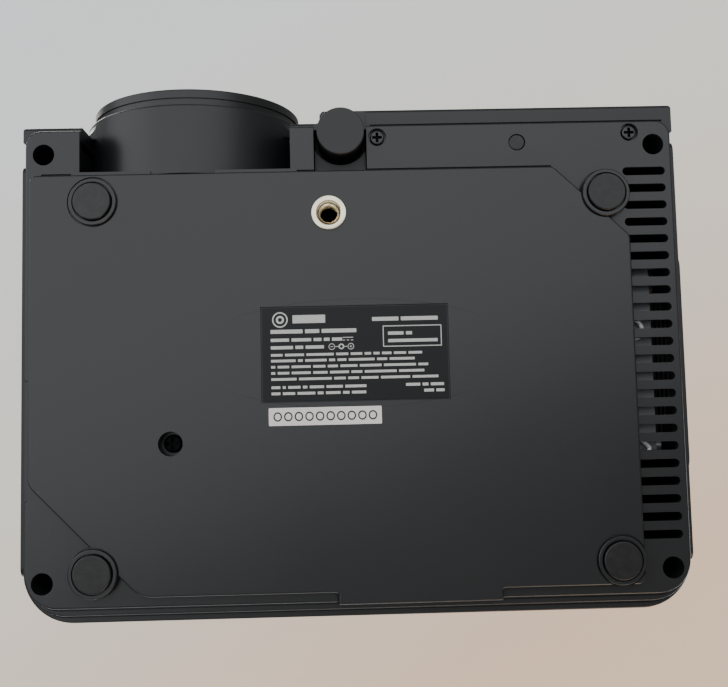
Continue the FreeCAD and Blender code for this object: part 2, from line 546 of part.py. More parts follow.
def test_plug():
    x, y = PLUG_AT
    plug = fuse([rod(2.45, at(x, y, BASE_Z + 0.1), 3.6), rod(2.95, at(x, y, FLOOR_TOP_Z + 0.02), 1.2)])
    return fillet(plug, 0.4, lambda e: level(e, BASE_Z + 0.1))


def flat_label(centre, size):
    x, y = centre
    w, h = size
    return plate(x - w / 2, x + w / 2, y - h / 2, y + h / 2, PLATEAU_Z - 0.12, PLATEAU_Z, 0.3, 0.3)


def foot_bracket():
    """Block behind the levelling foot: a round well for the knob, then the nut's pocket."""
    x, y = KNOB_AT
    gap = 0.3
    well_end = KNOB_TOP_Z + 0.5
    block = box(PAD_X0 + gap, PAD_X1 - gap, BASE_FRONT_Y + 0.7, PLATEAU_Y0 - 0.3, PAD_TOP_Z + 0.3,
                well_end + 1.5)
    tower = box(x - 6.5, x + 6.5, y - 2.0, PLATEAU_Y0 - 0.8, well_end, NUT_Z1 + 2.4)
    body = cut(fuse([block, tower]), [rod(KNOB_WELL_R, at(x, y, 0), well_end)])
    tools = [rod(2.95, at(x, y, 0), 40.0), hexagon(x, y, 5.2, NUT_Z0 - 0.2, NUT_Z1 + 0.2),
             box(x - 5.2, x + 5.2, y - 10, y, NUT_Z0 - 0.2, NUT_Z1 + 0.2)]
    return cut(body, tools)


def hexagon(x, y, half_flats, z0, z1):
    corner = half_flats / math.cos(math.pi / 6)
    points = [(x + corner * math.cos(math.pi / 3 * i), y + corner * math.sin(math.pi / 3 * i))
              for i in range(6)]
    return prism(points, 0, z0, z1)


def foot_nut():
    x, y = KNOB_AT
    return cut(hexagon(x, y, 5.0, NUT_Z0, NUT_Z1), [rod(2.5 + RUN, at(x, y, 0), 40.0)])


def foot_knob():
    """Knurled knob on its threaded stud."""
    x, y = KNOB_AT
    knob = rod(KNOB_R - 0.4, at(x, y, KNOB_Z0), KNOB_TOP_Z - KNOB_Z0)
    teeth = 48
    points = []
    for i in range(teeth * 2):
        angle = math.pi * i / teeth
        r = KNOB_R if i % 2 else KNOB_R - 0.45
        points.append((x + r * math.cos(angle), y + r * math.sin(angle)))
    knurl = prism(points, 0, KNOB_Z0, KNOB_TOP_Z - 0.8)
    stud = rod(2.5, at(x, y, KNOB_TOP_Z - 1), PARTING_Z - 0.5 - (KNOB_TOP_Z - 1))
    return fuse([knob, knurl, stud])


def foot_pad():
    x, y = KNOB_AT
    z = FEET_Z + 0.1
    return fillet(rod(KNOB_R, at(x, y, z), KNOB_Z0 - 0.05 - z), 0.3, lambda e: level(e, z))


def focus_ring():
    """Grip ring that turns on the lens mount's sleeve; its front band stands out of the collar."""
    body = fuse([lens_rod(RING_R, RING_FRONT_Y, RING_FRONT_Y + 2.7),
                 lens_rod(RING_R - 0.4, RING_FRONT_Y + 2.6, COLLAR_Y0 - 0.3),
                 lens_rod(RING_R - 0.9, RING_FRONT_Y + 1.0, -62.0)])
    body = fillet(body, 0.5, lambda e: e.BoundBox.YMax < RING_FRONT_Y + 0.01)
    return cut(body, [lens_rod(SLEEVE_R + RUN, -71.0, -60.0), lens_rod(28.6, RING_FRONT_Y - 1, -70.0)])


def lens_mount():
    """Flange on the optical housing, with the sleeve that guides the barrel."""
    y_flange = ENGINE_Y0 - 3.0
    flange = box(LENS_X - 32.5, LENS_X + 31.5, y_flange, ENGINE_Y0 - 0.05, ENGINE_Z0 + 1, ENGINE_Z1 - 1)
    body = fuse([flange, lens_rod(SLEEVE_R, -70.5, y_flange + 0.5)])
    body = cut(body, [box(-200, 0, -80, 0, 0, 9.0)])
    tools = [lens_rod(SLEEVE_BORE, -80, 0)]
    for dx in (-28.0, 28.0):
        for z in (ENGINE_Z0 + 5, ENGINE_Z1 - 5):
            tools.append(rod(1.6, at(LENS_X + dx, y_flange - 1, z), 6, Y_AXIS))
    return cut(body, tools)


def lens_barrel():
    """Barrel with a seat for each lens element and a baffle between them."""
    body = lens_rod(SLEEVE_BORE - RUN, -76.0, -42.0)
    tools = [lens_rod(25.2, -77, -66.0), lens_rod(23.2, -66.1, -60.0), lens_rod(19.5, -60.1, -54.0),
             lens_rod(23.2, -54.1, -41.0)]
    return cut(body, tools)


def lens_element(rim_r, y_front, y_back, face_r, front_bulge, back_bulge):
    """Biconvex glass: a flat-sided rim with a spherical cap of face_r on each side."""
    def point(r, y):
        return at(LENS_X + r, y, LENS_Z)

    def cap(y, bulge):
        radius = (face_r * face_r + bulge * bulge) / (2 * abs(bulge))
        sag = radius - math.sqrt(radius * radius - face_r * face_r / 4)
        half_way = point(face_r / 2, y + bulge - math.copysign(sag, bulge))
        return Part.Arc(point(0, y + bulge), half_way, point(face_r, y)).toShape()
    edges = [cap(y_front, -front_bulge),
             Part.makeLine(point(face_r, y_front), point(rim_r, y_front)),
             Part.makeLine(point(rim_r, y_front), point(rim_r, y_back)),
             Part.makeLine(point(rim_r, y_back), point(face_r, y_back)),
             cap(y_back, back_bulge),
             Part.makeLine(point(0, y_back + back_bulge), point(0, y_front - front_bulge))]
    face = Part.Face(Part.Wire(Part.__sortEdges__(edges)))
    return face.revolve(at(LENS_X, 0, LENS_Z), Y_AXIS, 360)


def front_lens():
    return lens_element(25.1, -70.15, -66.05, 22.8, 3.0, 2.5)


def rear_lens():
    return lens_element(23.1, -53.95, -50.0, 19.0, 1.8, 3.5)


def retaining_ring():
    """Threaded ring with two spanner slots that keeps the front element in."""
    ring = lens_tube(25.1, 23.2, -74.6, -70.2)
    slots = [box(LENS_X - 27, LENS_X + 27, -75, -74.0, LENS_Z - 0.8, LENS_Z + 0.8)]
    return cut(ring, slots)


def optical_housing():
    """Dark box of the light path, with a wall for the mirror and grooves for the sheets."""
    w = ENGINE_WALL
    outer = box(ENGINE_X0, ENGINE_X1, ENGINE_Y0, ENGINE_Y1, ENGINE_Z0, ENGINE_Z1 - 2.1)
    inner = box(ENGINE_X0 + w, ENGINE_X1 - w, ENGINE_Y0 + w, ENGINE_Y1 - w, ENGINE_Z0 + w, ENGINE_Z1)
    body = outer.cut(inner)
    ledges = []
    for x in (sheet_x(1), sheet_x(3), sheet_x(4)):
        for side in (-1, 1):
            y_wall = ENGINE_Y0 + w if side < 0 else ENGINE_Y1 - w
            y_in = y_wall - side * (2.4)
            ledges.append(box(x - 3.2, x - 1.35, min(y_wall, y_in) - 0.1, max(y_wall, y_in) + 0.1,
                              ENGINE_Z0 + 1, ENGINE_Z1 - 2.1))
            ledges.append(box(x + 1.35, x + 3.2, min(y_wall, y_in) - 0.1, max(y_wall, y_in) + 0.1,
                              ENGINE_Z0 + 1, ENGINE_Z1 - 2.1))
    body = fuse([body] + ledges)
    tools = [lens_rod(SLEEVE_BORE + 0.5, ENGINE_Y0 - 1, ENGINE_Y0 + w + 1),
             rod(22.0, at(ENGINE_X1 - w - 1, PATH_Y, LENS_Z), w + 2, X_AXIS),
             rod(1.55, at(*CENTRE_WELL, ENGINE_Z0 - 1), 8.0),
             rod(2.0 + RUN, at(LCD_X, ENGINE_Y0 - 1, LENS_Z), w + 2, Y_AXIS),
             rod(2.0 + RUN, at(LCD_X, ENGINE_Y1 - w - 1, LENS_Z), w + 2, Y_AXIS)]
    for dx in (-28.0, 28.0):
        for z in (ENGINE_Z0 + 5, ENGINE_Z1 - 5):
            tools.append(rod(1.25, at(LENS_X + dx, ENGINE_Y0 - 1, z), 4, Y_AXIS))
    return cut(body, tools)


def sheet_x(index):
    """Places along the light path: 1 heat glass, 2 LCD, 3 inner Fresnel, 4 outer Fresnel."""
    return {1: 26.0, 2: LCD_X, 3: 18.0, 4: -6.5}[index]


def optical_lid():
    return box(ENGINE_X0, ENGINE_X1, ENGINE_Y0, ENGINE_Y1, ENGINE_Z1 - 2.05, ENGINE_Z1)


def sheet(index, thickness):
    """A sheet that stands in the housing's grooves, across the light path."""
    x = sheet_x(index)
    return box(x - thickness / 2, x + thickness / 2, ENGINE_Y0 + 2.3, ENGINE_Y1 - 2.3,
               ENGINE_Z0 + ENGINE_WALL + 0.1, ENGINE_Z1 - 3.0)


def fold_mirror():
    """Front-silvered mirror at 45 degrees that turns the light into the lens."""
    half, thickness = 36.0, 2.0
    mirror = box(-half, half, 0, thickness, ENGINE_Z0 + 2.1, ENGINE_Z1 - 3.0)
    mirror.rotate(at(0, 0, 0), Z_AXIS, 45)
    mirror.translate(at(LENS_X - 1.0, PATH_Y + 1.0, 0))
    return mirror


def lcd_carrier():
    """Tilting frame of the LCD panel, with two pivots and the keystone lever on the front one."""
    y0, y1 = ENGINE_Y0 + 3.2, ENGINE_Y1 - 3.2
    z0, z1 = LENS_Z - 21.5, LENS_Z + 21.5
    frame = box(LCD_X - 2.5, LCD_X + 2.5, y0, y1, z0, z1)
    frame = cut(frame, [box(LCD_X - 3, LCD_X + 3, PATH_Y - 30, PATH_Y + 30, LENS_Z - 17, LENS_Z + 17),
                        box(LCD_X - 1.1, LCD_X + 1.1, PATH_Y - 32, PATH_Y + 32, LENS_Z - 19,
                            LENS_Z + 19)])
    front_pin = rod(2.0, at(LCD_X, ENGINE_Y0 - 4.6, LENS_Z), 8.5, Y_AXIS)
    rear_pin = rod(2.0, at(LCD_X, ENGINE_Y1 - 3.6, LENS_Z), 3.6, Y_AXIS)
    length = LEVER_TO_WHEEL + PIN_THROW
    arm = box(-2.6, 2.6, ENGINE_Y0 - 4.6, ENGINE_Y0 - 2.4, 0, length + 3.0)
    hub = rod(4.0, at(0, ENGINE_Y0 - 4.6, 0), 2.2, Y_AXIS)
    fork = box(-PIN_R - 0.35, PIN_R + 0.35, ENGINE_Y0 - 6, ENGINE_Y0, length - 3.0, length + 6)
    lever = fuse([arm, hub]).cut(fork)
    lever.rotate(at(0, 0, 0), Y_AXIS, math.degrees(math.atan2(LEVER_X, LEVER_Z)))
    lever.translate(at(LCD_X, 0, LENS_Z))
    return fuse([frame, front_pin, rear_pin, lever])


def lcd_panel():
    return box(LCD_X - 1.0, LCD_X + 1.0, PATH_Y - 31.8, PATH_Y + 31.8, LENS_Z - 18.8, LENS_Z + 18.8)


def condenser_lens():
    """Plano-convex glass between the light funnel and the housing."""
    x_flat = ENGINE_X1 + 0.6
    ball_r, bulge = 24.0, 7.0
    ball = Part.makeSphere(ball_r, at(x_flat + bulge - ball_r, PATH_Y, LENS_Z))
    return ball.common(rod(16.5, at(x_flat, PATH_Y, LENS_Z), 20, X_AXIS))


def light_funnel():
    """Square-backed collar that carries the condenser lens in front of the LED."""
    x0, x1 = ENGINE_X1 + 0.1, 46.3
    body = across_x([(PATH_Y - 20, LENS_Z - 20), (PATH_Y + 20, LENS_Z - 20),
                     (PATH_Y + 20, LENS_Z + 20), (PATH_Y - 20, LENS_Z + 20)], 3.0, x0, x1)
    seat = rod(16.7, at(x0 - 1, PATH_Y, LENS_Z), 10.4, X_AXIS)
    cone = Part.makeCone(15.5, 9.0, x1 - x0 - 8.9, at(x0 + 9.0, PATH_Y, LENS_Z), X_AXIS)
    return cut(body, [seat, cone, rod(9.0, at(x1 - 1, PATH_Y, LENS_Z), 3, X_AXIS)])


def led_board():
    """Metal-core board with the LED's square emitter on it."""
    plate_x = 46.5
    board = box(plate_x, plate_x + 1.6, PATH_Y - 19, PATH_Y + 19, LENS_Z - 19, LENS_Z + 19)
    emitter = box(plate_x - 1.0, plate_x + 0.2, PATH_Y - 5.5, PATH_Y + 5.5, LENS_Z - 5.5, LENS_Z + 5.5)
    return fuse([board, emitter])


def led_heatsink():
    x0 = 48.15
    base = box(x0, x0 + 4.0, FAN_Y - 29, FAN_Y + 29, 13.0, 63.5)
    fins = []
    count = 14
    for i in range(count):
        z = 13.0 + i * (50.5 - 1.2) / (count - 1)
        fins.append(box(x0 + 3.9, 74.0, FAN_Y - 29, FAN_Y + 29, z, z + 1.2))
    return fuse([base] + fins)


def fan_frame():
    """Square frame of the side fan, with its round duct, motor seat and four struts."""
    half = FAN_SIZE / 2
    depth = FAN_X1 - FAN_X0
    frame = across_x([(FAN_Y - half, FAN_Z - half), (FAN_Y + half, FAN_Z - half),
                      (FAN_Y + half, FAN_Z + half), (FAN_Y - half, FAN_Z + half)], 4.0,
                     FAN_X0, FAN_X1)
    frame = frame.cut(rod(half - 1.6, at(FAN_X0 - 1, FAN_Y, FAN_Z), depth + 2, X_AXIS))
    parts = [frame, rod(13.5, at(FAN_X0, FAN_Y, FAN_Z), 2.0, X_AXIS)]
    for i in range(4):
        strut = box(FAN_X0, FAN_X0 + 2.0, FAN_Y - 1.5, FAN_Y + 1.5, FAN_Z, FAN_Z + half - 1)
        strut.rotate(at(0, FAN_Y, FAN_Z), X_AXIS, 45 + 90 * i)
        parts.append(strut)
    parts.append(rod(2.0, at(FAN_X0, FAN_Y, FAN_Z), 6.0, X_AXIS))
    body = fuse(parts)
    holes = [rod(2.1, at(FAN_X0 - 1, FAN_Y + sy * 25, FAN_Z + sz * 25), depth + 2, X_AXIS)
             for sy in (-1, 1) for sz in (-1, 1)]
    return cut(body, holes)


def fan_rotor():
    """Cup hub with seven pitched blades."""
    x0 = FAN_X0 + 2.6
    hub = rod(12.0, at(x0, FAN_Y, FAN_Z), FAN_X1 - 0.8 - x0, X_AXIS)
    hub = fillet(hub, 1.2, lambda e: e.BoundBox.XMin > FAN_X1 - 1.0)
    hub = hub.cut(rod(2.0 + RUN, at(x0 - 1, FAN_Y, FAN_Z), 5.5, X_AXIS))
    blades = []
    for i in range(7):
        blade = box(-0.6, 0.6, -7.5, 7.5, 11.0, FAN_SIZE / 2 - 3.0)
        blade.rotate(at(0, 0, 0), Z_AXIS, 52)
        blade.translate(at((x0 + FAN_X1 - 0.8) / 2, FAN_Y, FAN_Z))
        blade.rotate(at(0, FAN_Y, FAN_Z), X_AXIS, 360.0 * i / 7)
        blades.append(blade)
    sweep = tube(FAN_SIZE / 2 - 2.6, 5, at(x0, FAN_Y, FAN_Z), FAN_X1 - 0.8 - x0, X_AXIS)
    return fuse([hub] + [blade.common(sweep) for blade in blades])


def fan_screws():
    screws = []
    for sy in (-1, 1):
        for sz in (-1, 1):
            y, z = FAN_Y + sy * 25, FAN_Z + sz * 25
            shank = rod(2.0, at(FAN_X0 + 0.2, y, z), FAN_X1 - FAN_X0 - 0.1, X_AXIS)
            screws.append(fuse([shank, rod(3.4, at(FAN_X1 + 0.05, y, z), 1.9, X_AXIS)]))
    return Part.makeCompound(screws)


def main_board():
    """Control board along the rear wall, with its chips and a shield can."""
    board = box(-84.0, 56.0, BOARD_Y0, BOARD_Y1, 12.5, 60.0)
    chips = [box(-40.0, -24.0, BOARD_Y0 - 1.5, BOARD_Y0 + 0.1, 34.0, 50.0),
             box(-10.0, 4.0, BOARD_Y0 - 1.2, BOARD_Y0 + 0.1, 36.0, 50.0),
             box(18.0, 46.0, BOARD_Y0 - 3.0, BOARD_Y0 + 0.1, 34.0, 54.0)]
    cans = [rod(4.0, at(x, BOARD_Y0 - 9.0, 50.0), 9.1, Y_AXIS) for x in (-76.0, -65.0, -54.0)]
    return fuse([board] + chips + cans)


def shell_socket(x, width, height, depth, lip, tongue):
    """Rectangular metal-shelled socket with its tongue, facing the rear."""
    y0, y1 = BOARD_Y1 + 0.05, CASE_REAR_Y - 0.4
    z = SOCKET_Z
    body = box(x - width / 2, x + width / 2, y0, y1, z - height / 2, z + height / 2)
    hole = box(x - width / 2 + lip, x + width / 2 - lip, y1 - depth, y1 + 1,
               z - height / 2 + lip, z + height / 2 - lip)
    body = cut(body, [hole])
    x_tongue = width / 2 - 2.2
    blade = box(x - x_tongue, x + x_tongue, y1 - depth - 0.5, y1 - 1.2,
                z + tongue[0], z + tongue[1])
    return fuse([body, blade])


def audio_jacks():
    jacks = []
    for x in (AV_X, PHONE_X):
        y0, y1 = BOARD_Y1 + 0.05, CASE_REAR_Y - WALL - 1.7
        body = box(x - 5.0, x + 5.0, y0, y1, SOCKET_Z - 4.0, SOCKET_Z + 4.0)
        nose = rod(3.1, at(x, y1 - 0.5, SOCKET_Z), CASE_REAR_Y - 0.3 - y1 + 0.5, Y_AXIS)
        bore = rod(1.8, at(x, CASE_REAR_Y - 13.3, SOCKET_Z), 16.0, Y_AXIS)
        jacks.append(fuse([body, nose]).cut(bore))
    return Part.makeCompound(jacks)


def dc_socket():
    y0, y1 = BOARD_Y1 + 0.05, CASE_REAR_Y - WALL - 1.7
    x = DC_X
    body = box(x - 4.9, x + 4.9, y0, y1, SOCKET_Z - 5.0, SOCKET_Z + 5.0)
    nose = rod(4.4, at(x, y1 - 0.5, SOCKET_Z), CASE_REAR_Y - 0.3 - y1 + 0.5, Y_AXIS)
    bore = rod(2.85, at(x, CASE_REAR_Y - 10.3, SOCKET_Z), 12.0, Y_AXIS)
    pin = rod(1.0, at(x, CASE_REAR_Y - 10.8, SOCKET_Z), 9.5, Y_AXIS)
    return fuse([fuse([body, nose]).cut(bore), pin])


def card_socket():
    y0, y1 = BOARD_Y1 + 0.05, CASE_REAR_Y - 2.0
    body = box(CARD_X - 6.9, CARD_X + 6.9, y0, CASE_REAR_Y - WALL - 1.7, SOCKET_Z - 1.4, SOCKET_Z + 1.4)
    nose = box(CARD_X - 6.2, CARD_X + 6.2, y0, y1, SOCKET_Z - 1.3, SOCKET_Z + 1.3)
    return cut(fuse([body, nose]), [box(CARD_X - 5.6, CARD_X + 5.6, y0 + 1.5, y1 + 1,
                                        SOCKET_Z - 0.5, SOCKET_Z + 0.5)])


def key_places():
    x, y = PAD_CENTRE
    return [(x - 34.0, y), (x + 28.0, y), (x, y), (x, y + KEY_RING), (x, y - KEY_RING),
            (x - KEY_RING, y), (x + KEY_RING, y)]


KEY_NAMES = ["power", "menu", "ok", "up", "down", "left", "right"]


def key_board_screws():
    x, y = PAD_CENTRE
    return [(x - 26.0, y + 14.0), (x + 21.0, y + 14.0), (x - 26.0, y - 14.0), (x + 21.0, y - 14.0)]


def key_prism(r, x, y, z0, z1):
    return rod(r, at(x, y, z0), z1 - z0)


def key(x, y):
    """Round key cap with a flange that stops it under the top, and a stem above its switch."""
    cap = key_prism(KEY_R, x, y, TOP_Z - 2.6, TOP_Z + 1.2)
    cap = fillet(cap, 0.6, lambda e: level(e, TOP_Z + 1.2))
    flange = key_prism(KEY_R + 0.9, x, y, TOP_Z - 3.1, TOP_Z - 2.25)
    stem = rod(1.5, at(x, y, TOP_Z - 4.1), 1.4)
    return fuse([cap, flange, stem])


def key_board():
    """Board under the keys, with one switch for each."""
    x, y = PAD_CENTRE
    z1 = TOP_Z - 8.05
    board = box(x - 41.0, x + 35.0, y - 18.0, y + 18.0, z1 - 1.6, z1)
    board = cut(board, [rod(1.3, at(sx, sy, 0), 100) for sx, sy in key_board_screws()])
    switches = [box(kx - 3.0, kx + 3.0, ky - 3.0, ky + 3.0, z1 - 0.1, z1 + 1.9)
                for kx, ky in key_places()]
    domes = [rod(1.6, at(kx, ky, z1 + 1.8), TOP_Z - 4.1 - KEY_TRAVEL - 0.15 - z1 - 1.8)
             for kx, ky in key_places()]
    return fuse([board] + switches + domes)


def inner_screws():
    """Screws of the key board, which point up, and of the lens mount, which point to the rear."""
    z = TOP_Z - 8.05 - 1.6
    screws = [fuse([rod(1.0, at(x, y, z), 6.5), rod(2.0, at(x, y, z - 1.3), 1.3)])
              for x, y in key_board_screws()]
    y_flange = ENGINE_Y0 - 3.0
    for dx in (-28.0, 28.0):
        for z in (ENGINE_Z0 + 5, ENGINE_Z1 - 5):
            screws.append(fuse([rod(1.2, at(LENS_X + dx, y_flange, z), 4.8, Y_AXIS),
                                rod(2.3, at(LENS_X + dx, y_flange - 1.4, z), 1.4, Y_AXIS)]))
    return Part.makeCompound(screws)


def keystone_wheel():
    """Ribbed thumbwheel that shows through the top, with an eccentric pin on its rear face."""
    x, z = WHEEL_AT
    teeth = 40
    points = []
    for i in range(teeth * 2):
        angle = math.pi * i / teeth
        r = WHEEL_R if i % 2 else WHEEL_R - 0.8
        points.append((x + r * math.cos(angle), z + r * math.sin(angle)))
    wheel = across_y(points, 0, WHEEL_Y0, WHEEL_Y1)
    throw = PIN_THROW / LEVER_TO_WHEEL
    pin = rod(PIN_R, at(x + LEVER_X * throw, WHEEL_Y1 - 0.1, z + LEVER_Z * throw), 3.0, Y_AXIS)
    return cut(fuse([wheel, pin]), [rod(AXLE_R + RUN, at(x, WHEEL_Y0 - 1, z), 10.0, Y_AXIS)])


def keystone_axle():
    x, z = WHEEL_AT
    return rod(AXLE_R, at(x, WHEEL_Y0 - 4.0, z), WHEEL_Y1 - WHEEL_Y0 + 3.8, Y_AXIS)


def lead(points):
    """Insulated lead along straight runs, with an arc at every point between them."""
    places = [at(*point) for point in points]
    edges = []
    end = places[0]
    for before, here, after in zip(places, places[1:], places[2:]):
        u = before.sub(here)
        v = after.sub(here)
        setback = 0.45 * min(u.Length, v.Length)
        u.normalize()
        v.normalize()
        half = math.acos(u.dot(v)) / 2
        centre = here.add(u.add(v).normalize().multiply(setback / math.cos(half)))
        start = here.add(FreeCAD.Vector(u).multiply(setback))
        radius = setback * math.tan(half)
        middle = centre.add(here.sub(centre).normalize().multiply(radius))
        edges.append(Part.LineSegment(end, start).toShape())
        end = here.add(FreeCAD.Vector(v).multiply(setback))
        edges.append(Part.Arc(start, middle, end).toShape())
    edges.append(Part.LineSegment(end, places[-1]).toShape())
    path = Part.Wire(edges)
    profile = Part.Wire(Part.makeCircle(LEAD_R, places[0], places[1].sub(places[0])))
    return path.makePipeShell([profile], True, False)


def fan_leads():
    """White leads of the fan and the lamp, looped under the fan and led to the main board."""
    z = LEAD_Z
    near = lead([(54.0, -14.0, 10.0), (66.0, -11.0, z), (79.0, -8.0, z), (87.0, -6.0, z),
                 (87.5, -1.5, z), (79.0, 1.0, z), (66.0, 6.0, z), (59.0, 17.0, z), (56.5, 31.0, z),
                 (57.5, 46.0, z), (54.0, 58.0, 10.5)])
    far = lead([(74.0, 27.0, z), (80.0, 28.2, z), (86.5, 30.2, z), (88.5, 32.8, z),
                (84.0, 35.0, z), (75.0, 38.0, z), (64.0, 45.0, z), (59.0, 54.0, z),
                (56.0, 60.0, 10.5)])
    return Part.makeCompound([near, far])


def speaker():
    """Small loudspeaker: basket rim, cone, and magnet behind it."""
    y, z = 26.0, 35.0
    x = -HALF_X + WALL + 0.1
    rim = rod(16.8, at(x, y, z), 1.5, X_AXIS)
    basket = Part.makeCone(16.0, 9.0, 4.5, at(x + 1.4, y, z), X_AXIS)
    magnet = rod(8.5, at(x + 5.8, y, z), 4.0, X_AXIS)
    dish = Part.makeCone(14.5, 5.0, 4.0, at(x - 0.01, y, z), X_AXIS)
    cap = Part.makeSphere(5.2, at(x + 6.0, y, z)).common(rod(5.2, at(x, y, z), 6, X_AXIS))
    return fuse([fuse([rim, basket, magnet]).cut(dish), cap])


PARTS = {
    "bottom_case": bottom_case,
    "top_case": top_case,
    "front_bezel": front_bezel,
    "ir_window": ir_window,
    "left_side_panel": lambda: side_panel(-1),
    "right_side_panel": lambda: side_panel(1),
    "speaker_grille": speaker_grille,
    "rear_panel": rear_panel,
    "rubber_feet": rubber_feet,
    "tripod_insert": tripod_insert,
    "case_screws": case_screws,
    "bezel_screws": bezel_screws,
    "test_plug": test_plug,
    "rating_label": lambda: flat_label(LABEL_AT, LABEL_SIZE),
    "serial_sticker": lambda: flat_label(STICKER_AT, STICKER_SIZE),
    "foot_bracket": foot_bracket,
    "foot_nut": foot_nut,
    "foot_knob": foot_knob,
    "foot_pad": foot_pad,
    "focus_ring": focus_ring,
    "lens_mount": lens_mount,
    "lens_barrel": lens_barrel,
    "front_lens": front_lens,
    "rear_lens": rear_lens,
    "retaining_ring": retaining_ring,
    "optical_housing": optical_housing,
    "optical_lid": optical_lid,
    "fold_mirror": fold_mirror,
    "lcd_carrier": lcd_carrier,
    "lcd_panel": lcd_panel,
    "heat_glass": lambda: sheet(1, 1.5),
    "inner_fresnel": lambda: sheet(3, 2.0),
    "outer_fresnel": lambda: sheet(4, 2.0),
    "condenser_lens": condenser_lens,
    "light_funnel": light_funnel,
    "led_board": led_board,
    "led_heatsink": led_heatsink,
    "fan_frame": fan_frame,
    "fan_rotor": fan_rotor,
    "fan_screws": fan_screws,
    "main_board": main_board,
    "hdmi_socket": lambda: shell_socket(HDMI_X, 15.2, 6.0, 9.0, 0.5, (-0.5, 0.9)),
    "usb_socket": lambda: shell_socket(USB_X, 13.6, 6.6, 10.0, 0.6, (0.2, 2.0)),
    "card_socket": card_socket,
    "audio_jacks": audio_jacks,
    "dc_socket": dc_socket,
    "key_board": key_board,
    "inner_screws": inner_screws,
    "speaker": speaker,
    "keystone_wheel": keystone_wheel,
    "keystone_axle": keystone_axle,
    "fan_leads": fan_leads,
}


def save(name, shape):
    shape.translate(at(0, 0, -FEET_Z))
    shape.exportStep(f"parts/{name}.step")


def main():
    os.makedirs("parts", exist_ok=True)
    for name, make in PARTS.items():
        save(name, make())
    for name, (x, y) in zip(KEY_NAMES, key_places()):
        save(f"key_{name}", key(x, y))


main()
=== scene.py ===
import math

import bmesh
import bpy
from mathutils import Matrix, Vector


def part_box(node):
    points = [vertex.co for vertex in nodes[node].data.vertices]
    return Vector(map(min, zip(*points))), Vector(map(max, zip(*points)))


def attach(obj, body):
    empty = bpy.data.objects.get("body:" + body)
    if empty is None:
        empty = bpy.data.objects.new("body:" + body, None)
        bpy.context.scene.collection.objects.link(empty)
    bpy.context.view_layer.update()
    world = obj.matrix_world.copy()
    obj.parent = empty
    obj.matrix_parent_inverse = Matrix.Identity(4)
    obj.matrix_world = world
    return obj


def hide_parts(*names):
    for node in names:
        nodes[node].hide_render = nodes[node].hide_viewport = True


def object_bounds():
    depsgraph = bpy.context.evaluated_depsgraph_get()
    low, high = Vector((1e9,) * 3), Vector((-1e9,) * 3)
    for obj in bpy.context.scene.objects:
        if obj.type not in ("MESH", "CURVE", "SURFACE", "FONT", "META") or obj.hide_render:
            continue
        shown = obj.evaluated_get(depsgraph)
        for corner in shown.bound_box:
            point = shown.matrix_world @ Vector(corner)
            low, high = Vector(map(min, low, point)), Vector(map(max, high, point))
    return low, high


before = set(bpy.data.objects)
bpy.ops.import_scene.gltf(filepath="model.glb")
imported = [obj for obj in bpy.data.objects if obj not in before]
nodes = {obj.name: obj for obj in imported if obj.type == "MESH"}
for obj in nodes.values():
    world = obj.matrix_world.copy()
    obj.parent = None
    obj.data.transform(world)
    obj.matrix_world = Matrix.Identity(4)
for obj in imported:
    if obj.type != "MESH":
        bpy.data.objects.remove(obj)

cad_low, cad_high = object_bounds()
bpy.ops.object.select_all(action="DESELECT")


# ---------------------------------------------------------------------------
# The table and the light.
# The projector stands on a pale floor. The camera looks up at its underside, so a second
# pale board lies across its top, and shows only to what looks at it from below.

def pale_board(name, height, facing_up, size):
    bpy.ops.mesh.primitive_plane_add(size=size, location=(0, 0, height))
    board = bpy.context.object
    board.name = name
    if not facing_up:
        bpy.ops.object.mode_set(mode="EDIT")
        bpy.ops.mesh.flip_normals()
        bpy.ops.object.mode_set(mode="OBJECT")
    bpy.ops.object.transform_apply(location=True)
    board.visible_shadow = False
    board.visible_diffuse = False
    board.visible_glossy = False
    board.visible_transmission = False
    return board


def node_of(tree, kind, values=(), links=(), **settings):
    """A shader node with its fixed inputs set by name or number, and its other inputs linked."""
    node = tree.nodes.new("ShaderNode" + kind)
    for key, value in settings.items():
        setattr(node, key, value)
    for socket, value in values:
        node.inputs[socket].default_value = value
    for socket, source in links:
        tree.links.new(source, node.inputs[socket])
    return node


BLEND_SLANT = 0.55
BLEND_FROM, BLEND_TO = -0.19, 0.14
PAINTED_GLOW_STRENGTH = 1.85


